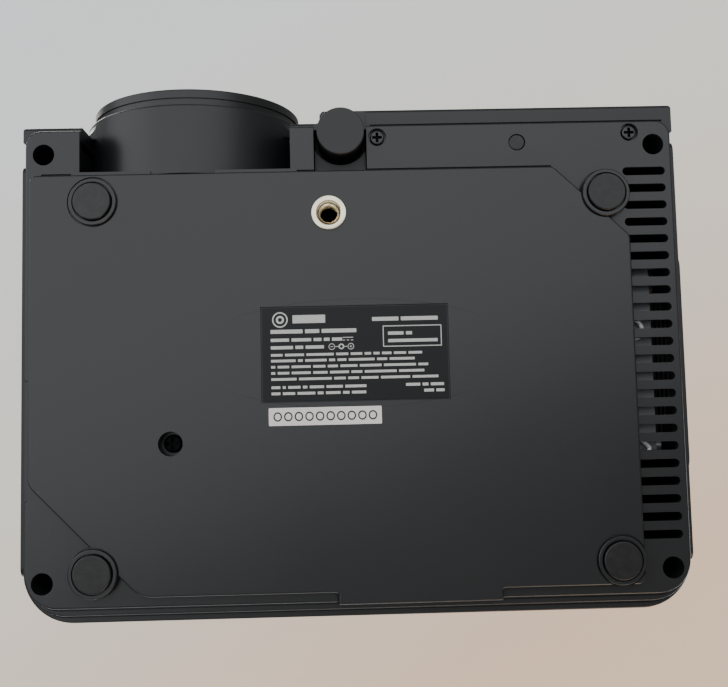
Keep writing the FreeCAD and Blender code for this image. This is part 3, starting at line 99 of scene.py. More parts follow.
def board_finish(board, colours, fade_from, fade_to, painted_glow):
    """Flat colours blended across the board, part of it glowing as painted light, and fading out
    between two distances from the middle. Its back can't be seen."""
    finish = bpy.data.materials.new(board.name + "_finish")
    finish.use_nodes = True
    tree = finish.node_tree
    tree.nodes.clear()
    place = node_of(tree, "TexCoord").outputs["Object"]
    split = node_of(tree, "SeparateXYZ", links=[(0, place)])
    slant = node_of(tree, "Math", [(1, BLEND_SLANT)],
                    [(0, split.outputs["X"]), (2, split.outputs["Y"])], operation="MULTIPLY_ADD")
    spread = node_of(tree, "MapRange", [("From Min", BLEND_FROM), ("From Max", BLEND_TO)],
                     [("Value", slant.outputs[0])])
    ramp = node_of(tree, "ValToRGB", links=[(0, spread.outputs[0])])
    ramp.color_ramp.elements[0].color = (*colours[0], 1)
    ramp.color_ramp.elements[1].color = (*colours[-1], 1)
    for i in range(1, len(colours) - 1):
        ramp.color_ramp.elements.new(i / (len(colours) - 1)).color = (*colours[i], 1)
    paint = node_of(tree, "BsdfDiffuse", links=[("Color", ramp.outputs[0])])
    light = node_of(tree, "Emission", [("Strength", PAINTED_GLOW_STRENGTH)],
                    [("Color", ramp.outputs[0])])
    body = node_of(tree, "MixShader", [(0, painted_glow)], [(1, paint.outputs[0]), (2, light.outputs[0])])
    clear = node_of(tree, "BsdfTransparent")
    middle = node_of(tree, "VectorMath", links=[(0, place)], operation="LENGTH")
    fade = node_of(tree, "MapRange", [("From Min", fade_from), ("From Max", fade_to)],
                   [("Value", middle.outputs["Value"])])
    side = node_of(tree, "NewGeometry")
    either = node_of(tree, "Math", links=[(0, fade.outputs[0]), (1, side.outputs["Backfacing"])],
                     operation="MAXIMUM")
    mix = node_of(tree, "MixShader", links=[(0, either.outputs[0]), (1, body.outputs[0]),
                                            (2, clear.outputs[0])])
    node_of(tree, "OutputMaterial", links=[("Surface", mix.outputs[0])])
    board.data.materials.append(finish)


COOL_GREY = (0.585, 0.615, 0.62)
MID_GREY = (0.61, 0.585, 0.53)
WARM_GREY = (0.64, 0.46, 0.335)
FLOOR_GREY = (0.62, 0.61, 0.59)
BOARD_CLEARANCE = 0.0002
floor = pale_board("floor", 0.0, True, size=6.0)
board_finish(floor, (FLOOR_GREY, FLOOR_GREY), fade_from=1.6, fade_to=2.9, painted_glow=0.0)
# Painted light: the table top glows though it is no lamp, and most of its brightness comes from
# that glow, in colours that blend from cool to warm across it.
table_top = pale_board("table_top", cad_high[2] + BOARD_CLEARANCE, False, size=2.0)
board_finish(table_top, (COOL_GREY, MID_GREY, WARM_GREY), fade_from=0.28, fade_to=0.5, painted_glow=0.8)

world = bpy.data.worlds.new("pale_room")
bpy.context.scene.world = world
world.use_nodes = True
room = world.node_tree.nodes["Background"]
ROOM_GREY, ROOM_STRENGTH = (0.80, 0.80, 0.79, 1), 0.32
room.inputs["Color"].default_value = ROOM_GREY
room.inputs["Strength"].default_value = ROOM_STRENGTH


def softbox(name, place, target, size, power, colour):
    """A round lamp at one place, aimed at another."""
    bpy.ops.object.light_add(type="AREA", location=place)
    lamp = bpy.context.object
    lamp.name = name
    lamp.data.shape = "DISK"
    lamp.data.size = size
    lamp.data.energy = power
    lamp.data.color = colour
    lamp.rotation_mode = "QUATERNION"
    lamp.rotation_quaternion = (Vector(target) - Vector(place)).to_track_quat("-Z", "Y")


UNDERSIDE, HALF_HEIGHT = (0, 0, 0), (0, 0, 0.04)
LAMPLIGHT = (1.0, 0.76, 0.56)
DAYLIGHT = (0.93, 0.97, 1.0)
softbox("lamp_below", (0.30, 0.80, -0.30), UNDERSIDE, 0.45, 3.2, LAMPLIGHT)
softbox("side_below", (-1.0, -0.35, -0.30), UNDERSIDE, 0.9, 3.6, DAYLIGHT)
softbox("key_above", (-0.7, -0.9, 1.0), HALF_HEIGHT, 0.9, 14.0, (1.0, 0.98, 0.95))
softbox("fill_above", (1.0, 0.5, 0.9), HALF_HEIGHT, 1.2, 9.0, (0.95, 0.98, 1.0))
softbox("rear_above", (-0.3, 1.2, 0.7), HALF_HEIGHT, 1.0, 7.0, (1.0, 1.0, 1.0))

# The window's light comes from below and the front as one broad pane, whose edge shows as
# the slow fall of the gloss across the underside.
WINDOW_AT, WINDOW_TURN = (-0.20, -0.435, -0.9), math.radians(-21.5)
WINDOW_WIDTH, WINDOW_DEPTH = 2.0, 1.1
WINDOW_POWER, WINDOW_COLOUR = 10.8, (0.945, 0.975, 1.0)
bpy.ops.object.light_add(type="AREA", location=WINDOW_AT, rotation=(math.pi, 0, WINDOW_TURN))
window_light = bpy.context.object
window_light.name = "window_below"
window_light.data.shape = "RECTANGLE"
window_light.data.size = WINDOW_WIDTH
window_light.data.size_y = WINDOW_DEPTH
window_light.data.energy = WINDOW_POWER
window_light.data.color = WINDOW_COLOUR

# The camera stands close below the middle, and looks almost straight up with the front edge
# of the case at the bottom of its view.
LENS_MM, SENSOR_MM = 48.46, 36
CAMERA_AT = (-0.00307, 0.02350, -0.28565)
CAMERA_TURN = (-175.185, 1.053, 1.353)
NEAREST_SEEN = 0.01
camera_data = bpy.data.cameras.new("camera")
camera_data.lens = LENS_MM
camera_data.sensor_width = SENSOR_MM
camera_data.clip_start = NEAREST_SEEN
camera = bpy.data.objects.new("camera", camera_data)
bpy.context.scene.collection.objects.link(camera)
camera.location = CAMERA_AT
camera.rotation_euler = [math.radians(degrees) for degrees in CAMERA_TURN]
bpy.context.scene.camera = camera


# ---------------------------------------------------------------------------
# Bottom case.
# The tray that everything is screwed to: black ABS from one mould, with fine spark texture,
# specks of dust on it, and a faint oval witness line of the mould's insert round the label.

LABEL_MIDDLE = (0.00015, 0.0022)
OVAL_HALF_AXES = (0.0489, 0.01607)
OVAL_LINE_SHARE = 0.0075
OVAL_FADE_FROM, OVAL_FADE_TO = 0.60, 0.80
WITNESS_BLACK = (0.004, 0.004, 0.005)
DUST_SCALE, DUST_RADIUS, DUST_COLOUR = 130, 0.00012, (0.16, 0.155, 0.15)
PAINTED_SHADE_BLACK = (0.002, 0.002, 0.002)
SPARK_HEIGHT = 0.00006


def wears(node, finish):
    mesh = nodes[node].data
    mesh.materials.clear()
    mesh.materials.append(finish)


def blank_finish(name):
    """A new material, its node tree, its shader and the object's own coordinates in it."""
    finish = bpy.data.materials.new(name)
    finish.use_nodes = True
    tree = finish.node_tree
    place = node_of(tree, "TexCoord").outputs["Object"]
    return finish, tree, tree.nodes["Principled BSDF"], place


def clouds(tree, place, scale, detail, **more):
    """Noise of the given scale and detail, from 0 to 1."""
    values = [("Scale", scale), ("Detail", detail)] + list(more.items())
    return node_of(tree, "TexNoise", values, [("Vector", place)]).outputs["Fac"]


def toned(tree, source, colour, stops, strengths):
    """One colour, from its darker to its lighter tone as the source goes between two stops."""
    tone = node_of(tree, "ValToRGB", links=[(0, source)])
    for stop, at, strength in zip(tone.color_ramp.elements, stops, strengths):
        stop.position = at
        stop.color = (*[min(1.0, c * strength) for c in colour], 1)
    return tone.outputs[0]


def laid_over(tree, share, under, over):
    """A plain colour laid over another colour, as far as the share says."""
    return node_of(tree, "Mix", [(7, (*over, 1))], [(0, share), (6, under)],
                   data_type="RGBA").outputs[2]


def put_gloss(tree, shade, source, sharpest, softest):
    """Roughness that goes with the source between two values."""
    gloss = node_of(tree, "MapRange", [("To Min", sharpest), ("To Max", softest)],
                    [("Value", source)])
    tree.links.new(gloss.outputs[0], shade.inputs["Roughness"])


def put_relief(tree, shade, source, strength, height):
    """Fine relief of the surface, with the source as its height."""
    bump = node_of(tree, "Bump", [("Strength", strength), ("Distance", height)],
                   [("Height", source)])
    tree.links.new(bump.outputs[0], shade.inputs["Normal"])


def speckle(tree, place, scale, radius, share):
    """Sparse round specks: 1 inside a speck and 0 between them."""
    cells = node_of(tree, "TexVoronoi", [("Scale", scale)], [("Vector", place)])
    near = node_of(tree, "Math", [(1, radius * scale)], [(0, cells.outputs["Distance"])],
                   operation="LESS_THAN")
    few = node_of(tree, "SeparateColor", links=[(0, cells.outputs["Color"])])
    chosen = node_of(tree, "Math", [(1, share)], [(0, few.outputs[0])], operation="LESS_THAN")
    return node_of(tree, "Math", links=[(0, near.outputs[0]), (1, chosen.outputs[0])],
                   operation="MULTIPLY").outputs[0]


def oval_line(tree, place):
    """1 along the thin oval round the label, fading out towards its ends."""
    split = node_of(tree, "SeparateXYZ", links=[(0, place)])
    parts = []
    for axis in (0, 1):
        away = node_of(tree, "Math", [(1, LABEL_MIDDLE[axis])], [(0, split.outputs[axis])],
                       operation="SUBTRACT")
        scaled = node_of(tree, "Math", [(1, OVAL_HALF_AXES[axis])], [(0, away.outputs[0])],
                         operation="DIVIDE")
        parts.append(scaled.outputs[0])
    joined = node_of(tree, "CombineXYZ", links=[(0, parts[0]), (1, parts[1])])
    radius = node_of(tree, "VectorMath", links=[(0, joined.outputs[0])], operation="LENGTH")
    line = node_of(tree, "Math", [(1, 1.0), (2, OVAL_LINE_SHARE)],
                   [(0, radius.outputs["Value"])], operation="COMPARE")
    end = node_of(tree, "Math", links=[(0, parts[0])], operation="ABSOLUTE")
    fade = node_of(tree, "MapRange", [("From Min", OVAL_FADE_FROM), ("From Max", OVAL_FADE_TO),
                                      ("To Min", 1.0), ("To Max", 0.0)],
                   [("Value", end.outputs[0])])
    return node_of(tree, "Math", links=[(0, line.outputs[0]), (1, fade.outputs[0])],
                   operation="MULTIPLY").outputs[0]


def moulded(name, colour, roughness, grain=2600, depth=0.35, dust=0.0, metal=0.0, oval=False,
            drift_scale=9, shade_above=None):
    """Moulded or coated stock: fine texture, a slow drift of tone and gloss, and dust.

    Whatever lies higher than the given height is painted black, as painted shade deep in a recess.
    """
    finish, tree, shade, place = blank_finish(name)
    shade.inputs["Metallic"].default_value = metal
    drift = clouds(tree, place, drift_scale, 4)
    skin = toned(tree, drift, colour, (0.35, 0.65), (0.88, 1.12))
    if oval:
        skin = laid_over(tree, oval_line(tree, place), skin, WITNESS_BLACK)
    if dust:
        skin = laid_over(tree, speckle(tree, place, DUST_SCALE, DUST_RADIUS, dust), skin,
                         DUST_COLOUR)
    # Painted shade: whatever lies above the given height is painted black, standing for the shade
    # deep in a recess.
    if shade_above is not None:
        height = node_of(tree, "SeparateXYZ", links=[(0, place)]).outputs["Z"]
        deep = node_of(tree, "Math", [(1, shade_above)], [(0, height)], operation="GREATER_THAN")
        skin = laid_over(tree, deep.outputs[0], skin, PAINTED_SHADE_BLACK)
    tree.links.new(skin, shade.inputs["Base Color"])
    put_gloss(tree, shade, drift, roughness - 0.05, roughness + 0.07)
    put_relief(tree, shade, clouds(tree, place, grain, 3), depth, SPARK_HEIGHT)
    return finish


wears("bottom_case", moulded("case_black", (0.0135, 0.0145, 0.0162), 0.30, dust=0.16, oval=True))


# ---------------------------------------------------------------------------
# Rubber feet.
# Four soft black discs pressed into the bosses of the tray; they pick up dust and rub grey.

GRAIN_SCALE, GRAIN_RADIUS, GRAIN_SHARE = 420, 0.00011, 0.10
GRAIN_COLOUR = (0.22, 0.215, 0.21)
RUBBER_HEIGHT = 0.00008


def rubbed(name, colour, roughness, dust_colour):
    """Rubber: matt, cloudy with dust, with a few bright grains stuck to it."""
    finish, tree, shade, place = blank_finish(name)
    shade.inputs["Roughness"].default_value = roughness
    shade.inputs["Specular IOR Level"].default_value = 0.5
    cloud = clouds(tree, place, 420, 6, Roughness=0.7)
    veil = node_of(tree, "MapRange", [("From Min", 0.45), ("From Max", 0.80)], [("Value", cloud)])
    skin = node_of(tree, "Mix", [(6, (*colour, 1)), (7, (*dust_colour, 1))],
                   [(0, veil.outputs[0])], data_type="RGBA").outputs[2]
    grains = speckle(tree, place, GRAIN_SCALE, GRAIN_RADIUS, GRAIN_SHARE)
    tree.links.new(laid_over(tree, grains, skin, GRAIN_COLOUR), shade.inputs["Base Color"])
    put_relief(tree, shade, cloud, 0.5, RUBBER_HEIGHT)
    return finish


rubber_black = rubbed("rubber_black", (0.004, 0.0042, 0.0045), 0.40, (0.020, 0.020, 0.020))
wears("rubber_feet", rubber_black)
wears("test_plug", rubber_black)


# ---------------------------------------------------------------------------
# Tripod insert.
# A flanged insert of bright plated brass, turned in one piece and pressed into the tray, with
# a quarter-inch thread of 20 turns to the inch cut in its bore.

TURN_STEPS = 96
THREAD_PITCH = 0.00127
CORE_R, ROOT_R = 0.0026, 0.00312


def turned(name, profile, middle, steps=TURN_STEPS):
    """Lathe-turned ring: each (radius, height) of its closed outline is one more extruded loop."""
    radius, height = profile[0]
    bpy.ops.mesh.primitive_circle_add(vertices=steps, radius=radius,
                                      location=(middle[0], middle[1], height))
    piece = bpy.context.object
    piece.name = name
    bpy.ops.object.mode_set(mode="EDIT")
    bpy.ops.mesh.select_all(action="SELECT")
    for next_radius, next_height in profile[1:] + profile[:1]:
        bpy.ops.mesh.extrude_edges_move(
            TRANSFORM_OT_translate={"value": (0, 0, next_height - height)})
        bpy.ops.transform.resize(value=(next_radius / radius, next_radius / radius, 1))
        radius, height = next_radius, next_height
    bpy.ops.mesh.select_all(action="SELECT")
    bpy.ops.mesh.remove_doubles(threshold=1e-6)
    bpy.ops.mesh.normals_make_consistent(inside=False)
    bpy.ops.object.mode_set(mode="OBJECT")
    bpy.ops.object.transform_apply(location=True)
    return piece


def smooth(piece, degrees=30):
    bpy.ops.object.select_all(action="DESELECT")
    piece.select_set(True)
    bpy.context.view_layer.objects.active = piece
    bpy.ops.object.shade_smooth_by_angle(angle=math.radians(degrees))
    piece.select_set(False)


def belongs(piece, finish, body="case"):
    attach(piece, body)
    piece.data.materials.clear()
    piece.data.materials.append(finish)


STAIN_SCALE, STREAK_HEIGHT = 260, 0.00003


def metal(name, colour, roughness, streaks, across):
    """Turned or drawn metal: fine streaks along one direction, and a slight stain."""
    finish, tree, shade, place = blank_finish(name)
    shade.inputs["Metallic"].default_value = 1.0
    stretch = node_of(tree, "Mapping", [("Scale", across)], [("Vector", place)])
    lines = clouds(tree, stretch.outputs[0], streaks, 5)
    stain = clouds(tree, place, STAIN_SCALE, 3)
    tree.links.new(toned(tree, stain, colour, (0.3, 0.7), (0.82, 1.05)),
                   shade.inputs["Base Color"])
    put_gloss(tree, shade, lines, roughness * 0.7, roughness * 1.4)
    put_relief(tree, shade, lines, 0.25, STREAK_HEIGHT)
    return finish


insert_low, insert_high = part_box("tripod_insert")
insert_at = ((insert_low[0] + insert_high[0]) / 2, (insert_low[1] + insert_high[1]) / 2)
flange_r = (insert_high[0] - insert_low[0]) / 2
z0, z1 = insert_low[2], insert_high[2]
brass = metal("brass", (0.93, 0.85, 0.66), 0.22, 900, (1, 1, 6))
EDGE_ROUND = 0.00018
SHANK_R = 0.00445
FLANGE_DEPTH = 0.00125
insert = turned("tripod_insert_body", [
    (ROOT_R, z0 + 0.0010), (0.0036, z0 + 0.00012), (0.0038, z0), (flange_r - EDGE_ROUND, z0),
    (flange_r - 0.00005, z0 + 0.00005), (flange_r, z0 + EDGE_ROUND),
    (flange_r, z0 + FLANGE_DEPTH), (SHANK_R, z0 + FLANGE_DEPTH + 0.00001),
    (SHANK_R, z1 - 0.0002), (0.0042, z1), (0.0033, z1), (ROOT_R, z1 - 0.0004)], insert_at)
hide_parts("tripod_insert")
belongs(insert, brass)
smooth(insert)

# The thread's ridge is one small square, swept up the bore as a helix and closed at its ends.
ridge = THREAD_PITCH * 0.42
thread_start = z0 + 0.0016
HELIX_STEPS = 48
bpy.ops.mesh.primitive_circle_add(vertices=4, radius=ridge, location=(*insert_at, thread_start),
                                  rotation=(math.radians(90), 0, 0))
thread = bpy.context.object
thread.name = "tripod_insert_thread"
bpy.ops.object.transform_apply(location=False, rotation=True, scale=False)
bpy.ops.object.mode_set(mode="EDIT")
bpy.ops.mesh.select_all(action="SELECT")
bpy.ops.transform.translate(value=(CORE_R + ridge, 0, 0))
bpy.ops.object.mode_set(mode="OBJECT")
helix = thread.modifiers.new("helix", "SCREW")
helix.axis = "Z"
helix.screw_offset = THREAD_PITCH
helix.iterations = int((z1 - ridge - thread_start) / THREAD_PITCH)
helix.steps = helix.render_steps = HELIX_STEPS
helix.use_smooth_shade = False
bpy.ops.object.modifier_apply(modifier="helix")
bpy.ops.object.mode_set(mode="EDIT")
bpy.ops.mesh.select_all(action="DESELECT")
bpy.ops.mesh.select_non_manifold()
bpy.ops.mesh.fill()
bpy.ops.mesh.select_all(action="SELECT")
bpy.ops.mesh.normals_make_consistent(inside=False)
bpy.ops.object.mode_set(mode="OBJECT")
bpy.ops.object.transform_apply(location=True)
belongs(thread, brass)
smooth(thread)


# ---------------------------------------------------------------------------
# Screws.
# Five self-tapping screws hold the case from deep in their wells, two more hold
# the bezel, and small bright ones hold the boards, the fan and the lens mount. The five in the
# wells are painted near black, darker than the bezel's, as painted shade deep in the wells.

EVEN = (1, 1, 1)
HEAD_EDGE = 0.0004
SCREW_DRIFT = 700
screw_steel = metal("screw_steel", (0.42, 0.42, 0.43), 0.34, 500, EVEN)
# The bezel screws are painted black above their heads' lowest 0.4 mm, as painted shade in their
# cross and round their heads.
screw_black = moulded("screw_black", (0.055, 0.058, 0.062), 0.36, 900, 0.5, metal=0.95,
                      drift_scale=SCREW_DRIFT, shade_above=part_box("bezel_screws")[0][2] + HEAD_EDGE)
# Painted shade: the case screws are darker still than the bezel's, standing for the shade deep in
# their wells.
screw_shaded_black = moulded("screw_shaded_black", (0.006, 0.006, 0.007), 0.5, 900, 0.5, metal=0.95,
                      drift_scale=SCREW_DRIFT)
wears("bezel_screws", screw_black)
wears("case_screws", screw_shaded_black)
wears("inner_screws", screw_steel)
wears("fan_screws", screw_steel)


# ---------------------------------------------------------------------------
# Rating label.
# A black laminated label in a shallow groove. Its pale print is only bars where lines of
# small type would be, a ring pair, an empty frame and the common marks for direct current.

FIBRE_HEIGHT = 0.00004


def coated(name, colour, roughness, fibre, mottling, specular=0.4):
    """Paper or film: soft fibres under a thin, slightly uneven lamination."""
    finish, tree, shade, place = blank_finish(name)
    shade.inputs["Specular IOR Level"].default_value = specular
    fibres = clouds(tree, place, fibre, 6)
    tree.links.new(toned(tree, fibres, colour, (0.3, 0.7), (1 - mottling, 1 + mottling)),
                   shade.inputs["Base Color"])
    put_gloss(tree, shade, fibres, roughness - 0.06, roughness + 0.06)
    put_relief(tree, shade, fibres, 0.2, FIBRE_HEIGHT)
    return finish


def bars(name, places, height, edge):
    """Printed bars of one ink film: each is (x, y, width, depth) with its corners rounded."""
    bpy.ops.mesh.primitive_cube_add(size=1, location=(0, 0, 0))
    piece = bpy.context.object
    piece.name = name
    bpy.ops.object.mode_set(mode="EDIT")
    bpy.ops.mesh.select_all(action="SELECT")
    bpy.ops.mesh.delete(type="VERT")
    for x, y, width, depth in places:
        bpy.ops.mesh.primitive_cube_add(size=1, location=(x, y, sum(height) / 2),
                                        scale=(width, depth, height[1] - height[0]))
    bpy.ops.object.mode_set(mode="OBJECT")
    piece.select_set(True)
    bpy.context.view_layer.objects.active = piece
    if edge:
        mesh = bmesh.new()
        mesh.from_mesh(piece.data)
        upright = [e for e in mesh.edges
                   if abs(e.verts[0].co.z - e.verts[1].co.z) > (height[1] - height[0]) / 2]
        bmesh.ops.bevel(mesh, geom=upright, offset=edge, segments=3, affect="EDGES", profile=0.5)
        mesh.to_mesh(piece.data)
        mesh.free()
    return piece


label_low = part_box("rating_label")[0]
label_black = coated("label_black", (0.006, 0.0065, 0.0075), 0.34, 1500, 0.10, 0.24)
ink_pale = coated("ink_pale", (0.55, 0.55, 0.55), 0.5, 2600, 0.10)
wears("rating_label", label_black)
INK = 0.00003
INK_CORNER = 0.00008
ink_height = (label_low[2] - INK, label_low[2] + INK)

# Each line of bars: its left end and its distance from the label's front edge, the bars'
# height, and their widths, in millimetres.
LINES = [
    (9.0, 3.4, 2.4, (9.6,)),
    (32.4, 3.8, 1.15, (7.8, 10.9)),
    (37.0, 8.1, 0.95, (4.6, 1.8)),
    (37.0, 10.3, 0.95, (14.6,)),
    (2.5, 7.0, 1.15, (9.4, 4.2, 10.2)),
    (2.5, 9.5, 0.95, (5.4, 5.8, 2.3, 1.7, 3.0)),
    (2.5, 11.7, 0.95, (6.5, 2.3, 5.4)),
    (2.5, 13.9, 0.75, (3.4, 5.6, 8.0, 3.6, 3.4, 1.9, 1.8, 2.8, 3.6, 4.0)),
    (2.5, 15.6, 0.75, (7.2, 1.4, 6.3, 1.8, 2.6, 7.6, 3.0, 7.4)),
    (2.5, 17.4, 0.75, (1.2, 3.4, 5.6, 3.6, 3.0, 5.0, 6.4, 9.4, 2.9)),
    (2.5, 19.2, 0.75, (1.2, 3.4, 5.6, 4.2, 5.6, 3.2, 9.4, 7.4)),
    (2.5, 21.0, 0.75, (7.4, 9.6, 3.4, 3.2, 5.0, 8.6, 7.6)),
    (2.5, 23.4, 0.8, (2.6, 0.9, 3.6, 1.3, 4.2, 4.8, 6.2)),
    (2.5, 25.2, 0.8, (2.6, 3.6, 5.2, 1.7, 4.3, 1.9, 4.2)),
    (41.9, 23.3, 0.85, (4.2, 1.7, 3.9)),
    (47.2, 25.1, 0.85, (2.9, 2.4)),
]
GAP = 0.7


def on_label(x, y):
    return label_low[0] + x / 1000, label_low[1] + y / 1000


places = []
for left, down, tall, widths in LINES:
    for width in widths:
        places.append((*on_label(left + width / 2, down), width / 1000, tall / 1000))
        left += width + GAP

# Thin lines, by middle, width and depth: the empty frame, the sign for direct current, and
# the two leads and signs of the polarity mark.
THIN = [
    (44.15, 5.95, 17.3, 0.28), (44.15, 11.95, 17.3, 0.28),
    (35.62, 8.95, 0.28, 5.8), (52.68, 8.95, 0.28, 5.8),
    (25.2, 9.05, 3.1, 0.22),
    (24.0, 9.85, 0.7, 0.22), (25.2, 9.85, 0.7, 0.22), (26.4, 9.85, 0.7, 0.22),
    (21.9, 11.7, 0.9, 0.22), (24.5, 11.7, 0.9, 0.22),
    (20.4, 11.7, 0.8, 0.2), (26.0, 11.7, 0.8, 0.2), (26.0, 11.7, 0.2, 0.8),
]
for x, y, width, depth in THIN:
    places.append((*on_label(x, y), width / 1000, depth / 1000))
print_bars = bars("label_print_bars", places, ink_height, INK_CORNER)
belongs(print_bars, ink_pale)


RING_STEPS = 48


def flat_ring(name, outer, inner, height, middle, steps=RING_STEPS):
    """A ring of ink between two radii and two heights."""
    low, high = height
    return turned(name, [(outer, low), (outer, high), (inner, high), (inner, low)], middle, steps)


for name, x, y, outer, inner in (("label_ring_outer", 5.3, 3.5, 0.0023, 0.0019),
                                 ("label_ring_inner", 5.3, 3.5, 0.0012, 0.0006),
                                 ("label_polarity_left", 20.4, 11.7, 0.00095, 0.00075),
                                 ("label_polarity_middle", 23.2, 11.7, 0.00085, 0.00045),
                                 ("label_polarity_right", 26.0, 11.7, 0.00095, 0.00075)):
    belongs(flat_ring(name, outer, inner, ink_height, on_label(x, y)), ink_pale)


# ---------------------------------------------------------------------------
# Number sticker.
# A strip of matt white paper below the label, with a row of ten plain noughts in place of a
# number; each is the same printed ring, pressed narrower than it is tall.

sticker_low, sticker_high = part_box("serial_sticker")
sticker_white = coated("sticker_white", (0.86, 0.81, 0.80), 0.60, 1200, 0.03)
wears("serial_sticker", sticker_white)
ink_dark = coated("ink_dark", (0.022, 0.020, 0.021), 0.5, 2600, 0.2)
NOUGHT_OUTER, NOUGHT_INNER = 0.00138, 0.00094
NOUGHT_NARROWING = 0.92
NOUGHT_STEPS = 40
FIRST_NOUGHT = 0.0026
NOUGHT_COUNT, NOUGHT_PITCH = 10, 0.00309
noughts = flat_ring("sticker_noughts", NOUGHT_OUTER, NOUGHT_INNER,
                    (sticker_low[2] - INK, sticker_low[2] + INK),
                    (sticker_low[0] + FIRST_NOUGHT, (sticker_low[1] + sticker_high[1]) / 2),
                    NOUGHT_STEPS)
bpy.ops.object.mode_set(mode="EDIT")
bpy.ops.mesh.select_all(action="SELECT")
bpy.ops.transform.resize(value=(NOUGHT_NARROWING, 1, 1))
bpy.ops.object.mode_set(mode="OBJECT")
row = noughts.modifiers.new("row", "ARRAY")
row.count = NOUGHT_COUNT
row.use_relative_offset = False
row.use_constant_offset = True
row.constant_offset_displace = (NOUGHT_PITCH, 0, 0)
bpy.ops.object.modifier_apply(modifier="row")
belongs(noughts, ink_dark)


# ---------------------------------------------------------------------------
# Levelling foot.
# A knurled knob of black nylon on a steel stud, which screws out of a nut in the bracket
# behind it, with a thin rubber cap glued to its end.

knob_black = moulded("knob_black", (0.016, 0.0165, 0.018), 0.46, 1900, 0.5, dust=0.05)
cap_black = moulded("cap_black", (0.024, 0.0245, 0.026), 0.55, 1200, 0.6, dust=0.2)
bracket_black = moulded("bracket_black", (0.012, 0.013, 0.014), 0.5)
wears("foot_knob", knob_black)
wears("foot_pad", cap_black)
wears("foot_bracket", bracket_black)
wears("foot_nut", screw_steel)


# ---------------------------------------------------------------------------
# Front bezel, side panels, grille and socket panel.
# Separate satin black covers: the bezel is one moulding with its round lens collar, and the
# side panels clip on over the fan and the loudspeaker.

bezel_black = moulded("bezel_black", (0.0115, 0.0125, 0.0145), 0.38, 1800, 0.25, dust=0.05)
panel_black = moulded("panel_black", (0.012, 0.013, 0.0145), 0.44, 2200, 0.4, dust=0.05)
wears("front_bezel", bezel_black)
wears("rear_panel", bezel_black)
wears("left_side_panel", panel_black)
wears("right_side_panel", panel_black)
wears("speaker_grille", panel_black)
wears("top_case", moulded("lid_black", (0.014, 0.0155, 0.017), 0.45, 2600, 0.4, dust=0.08))
window = moulded("window", (0.012, 0.003, 0.005), 0.10, 300, 0.03)
window.node_tree.nodes["Principled BSDF"].inputs["Coat Weight"].default_value = 0.6
wears("ir_window", window)


# ---------------------------------------------------------------------------
# Lens.
# The focus ring turns on the mount's sleeve and drives the barrel. The glass elements have
# a violet-green anti-reflection coating, and all the rest is flat black inside.

def glassy(name, colour, film):
    """Polished optical glass, with a thin coating that tints its reflections."""
    finish, tree, shade, place = blank_finish(name)
    shade.inputs["Transmission Weight"].default_value = 1.0
    shade.inputs["IOR"].default_value = 1.52
    shade.inputs["Thin Film Thickness"].default_value = film
    shade.inputs["Thin Film IOR"].default_value = 1.38
    smear = clouds(tree, place, 60, 4)
    tree.links.new(toned(tree, smear, colour, (0.0, 1.0), (0.94, 1.0)),
                   shade.inputs["Base Color"])
    put_gloss(tree, shade, smear, 0.0, 0.05)
    return finish


ring_black = moulded("ring_black", (0.012, 0.013, 0.014), 0.36, 1500, 0.2, dust=0.04)
optic_black = moulded("optic_black", (0.006, 0.006, 0.006), 0.72, 1800, 0.5)
lens_glass = glassy("lens_glass", (0.93, 0.97, 1.0), 440)
clear_glass = glassy("clear_glass", (0.97, 1.0, 0.98), 0)
wears("focus_ring", ring_black)
for node in ("lens_mount", "lens_barrel", "retaining_ring"):
    wears(node, optic_black)
wears("front_lens", lens_glass)
wears("rear_lens", clear_glass)


# ---------------------------------------------------------------------------
# Light path.
# A dark box with a lid, grooves for the glass and the ribbed sheets, a tilting frame for the
# small screen, and the mirror that turns the light into the lens.

silver = metal("silver_mirror", (0.93, 0.94, 0.93), 0.04, 30, EVEN)
sheet_plastic = moulded("sheet_plastic", (0.70, 0.73, 0.75), 0.16, 4200, 0.6)
lcd_dark = moulded("lcd_dark", (0.03, 0.035, 0.05), 0.12, 6000, 0.2)
for node in ("optical_housing", "optical_lid", "lcd_carrier"):
    wears(node, optic_black)
wears("fold_mirror", silver)
wears("lcd_panel", lcd_dark)
wears("heat_glass", clear_glass)
wears("condenser_lens", clear_glass)
wears("inner_fresnel", sheet_plastic)
wears("outer_fresnel", sheet_plastic)


# ---------------------------------------------------------------------------
# Lamp and fan.
# The LED board is clamped to a finned aluminium block, and a 60 mm fan behind the side panel
# draws air in through the floor slots and across the fins. Its white leads loop under it.

wears("light_funnel", moulded("funnel_white", (0.62, 0.62, 0.60), 0.5))
wears("led_board", moulded("board_white", (0.72, 0.72, 0.69), 0.35, 700, 0.2))
wears("led_heatsink", metal("alloy", (0.70, 0.71, 0.73), 0.30, 700, (1, 12, 1)))
fan_grey = moulded("fan_grey", (0.16, 0.165, 0.175), 0.38, 1500, 0.3)
wears("fan_frame", fan_grey)
wears("fan_rotor", fan_grey)
wears("fan_leads", moulded("lead_white", (0.93, 0.92, 0.90), 0.42, 900, 0.2))


# ---------------------------------------------------------------------------
# Boards and sockets.
# A control board stands along the rear wall with tinned and black sockets soldered to it,
# and a small one under the top carries the keys' switches.

board_green = moulded("board_green", (0.02, 0.13, 0.05), 0.32, 900, 0.5, drift_scale=160)
socket_steel = metal("socket_steel", (0.58, 0.58, 0.60), 0.28, 600, (1, 1, 8))
socket_black = moulded("socket_black", (0.016, 0.016, 0.017), 0.42)
for node in ("main_board", "key_board"):
    wears(node, board_green)
for node in ("hdmi_socket", "usb_socket", "card_socket"):
    wears(node, socket_steel)
for node in ("audio_jacks", "dc_socket", "speaker"):
    wears(node, socket_black)


# ---------------------------------------------------------------------------
# Keystone wheel.
# A ribbed thumb wheel on a steel axle behind the lens; its pin tilts the small screen.

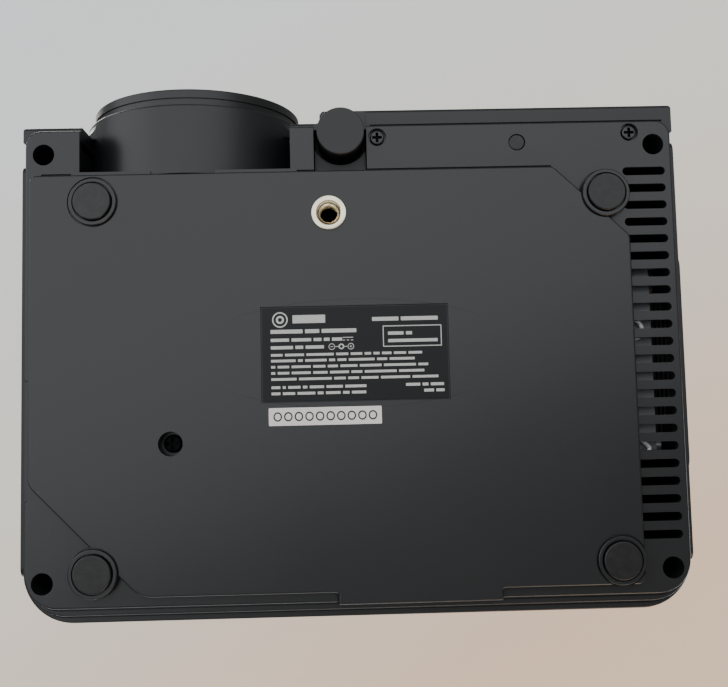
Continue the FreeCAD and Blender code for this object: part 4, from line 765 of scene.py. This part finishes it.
key_grey = moulded("key_grey", (0.045, 0.047, 0.05), 0.42, 2000, 0.35)
wears("keystone_wheel", key_grey)
wears("keystone_axle", screw_steel)


# ---------------------------------------------------------------------------
# Keys.
# Seven round caps in the top, each with one pale printed mark: a ring for on and off, three
# bars for the menu, a small ring for choosing, and a three-cornered pointer for each direction.

MARK = 0.00004
MARK_CORNER = 0.0001
POINTER_R = 0.0015


def key_mark(key, shapes):
    """Print one mark on its key: bars by place and size, a ring by radii, a pointer by angle."""
    low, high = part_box("key_" + key)
    middle = ((low[0] + high[0]) / 2, (low[1] + high[1]) / 2)
    top = high[2]
    kind = shapes[0]
    if kind == "bars":
        mark = bars("mark_" + key, [(middle[0] + x, middle[1] + y, w, d)
                                    for x, y, w, d in shapes[1:]],
                    (top - MARK, top + MARK), MARK_CORNER)
    elif kind == "ring":
        outer, inner = shapes[1:]
        mark = flat_ring("mark_" + key, outer, inner, (top - MARK, top + MARK), middle)
    else:
        bpy.ops.mesh.primitive_circle_add(vertices=3, radius=POINTER_R, fill_type="NGON",
                                          location=(*middle, top - MARK),
                                          rotation=(0, 0, shapes[1]))
        mark = bpy.context.object
        mark.name = "mark_" + key
        bpy.ops.object.mode_set(mode="EDIT")
        bpy.ops.mesh.select_all(action="SELECT")
        bpy.ops.mesh.extrude_region_move(TRANSFORM_OT_translate={"value": (0, 0, 2 * MARK)})
        bpy.ops.mesh.select_all(action="SELECT")
        bpy.ops.mesh.normals_make_consistent(inside=False)
        bpy.ops.object.mode_set(mode="OBJECT")
        bpy.ops.object.transform_apply(location=True, rotation=True)
    belongs(mark, ink_pale, "key_" + key)


MARKS = {
    "power": ("ring", 0.0018, 0.0014),
    "menu": ("bars", *[(0, y, 0.003, 0.0004) for y in (-0.001, 0, 0.001)]),
    "ok": ("ring", 0.0009, 0.0002),
    "up": ("pointer", 0.0),
    "down": ("pointer", math.pi),
    "left": ("pointer", math.pi / 2),
    "right": ("pointer", -math.pi / 2),
}
for key, shapes in MARKS.items():
    wears("key_" + key, key_grey)
    key_mark(key, shapes)
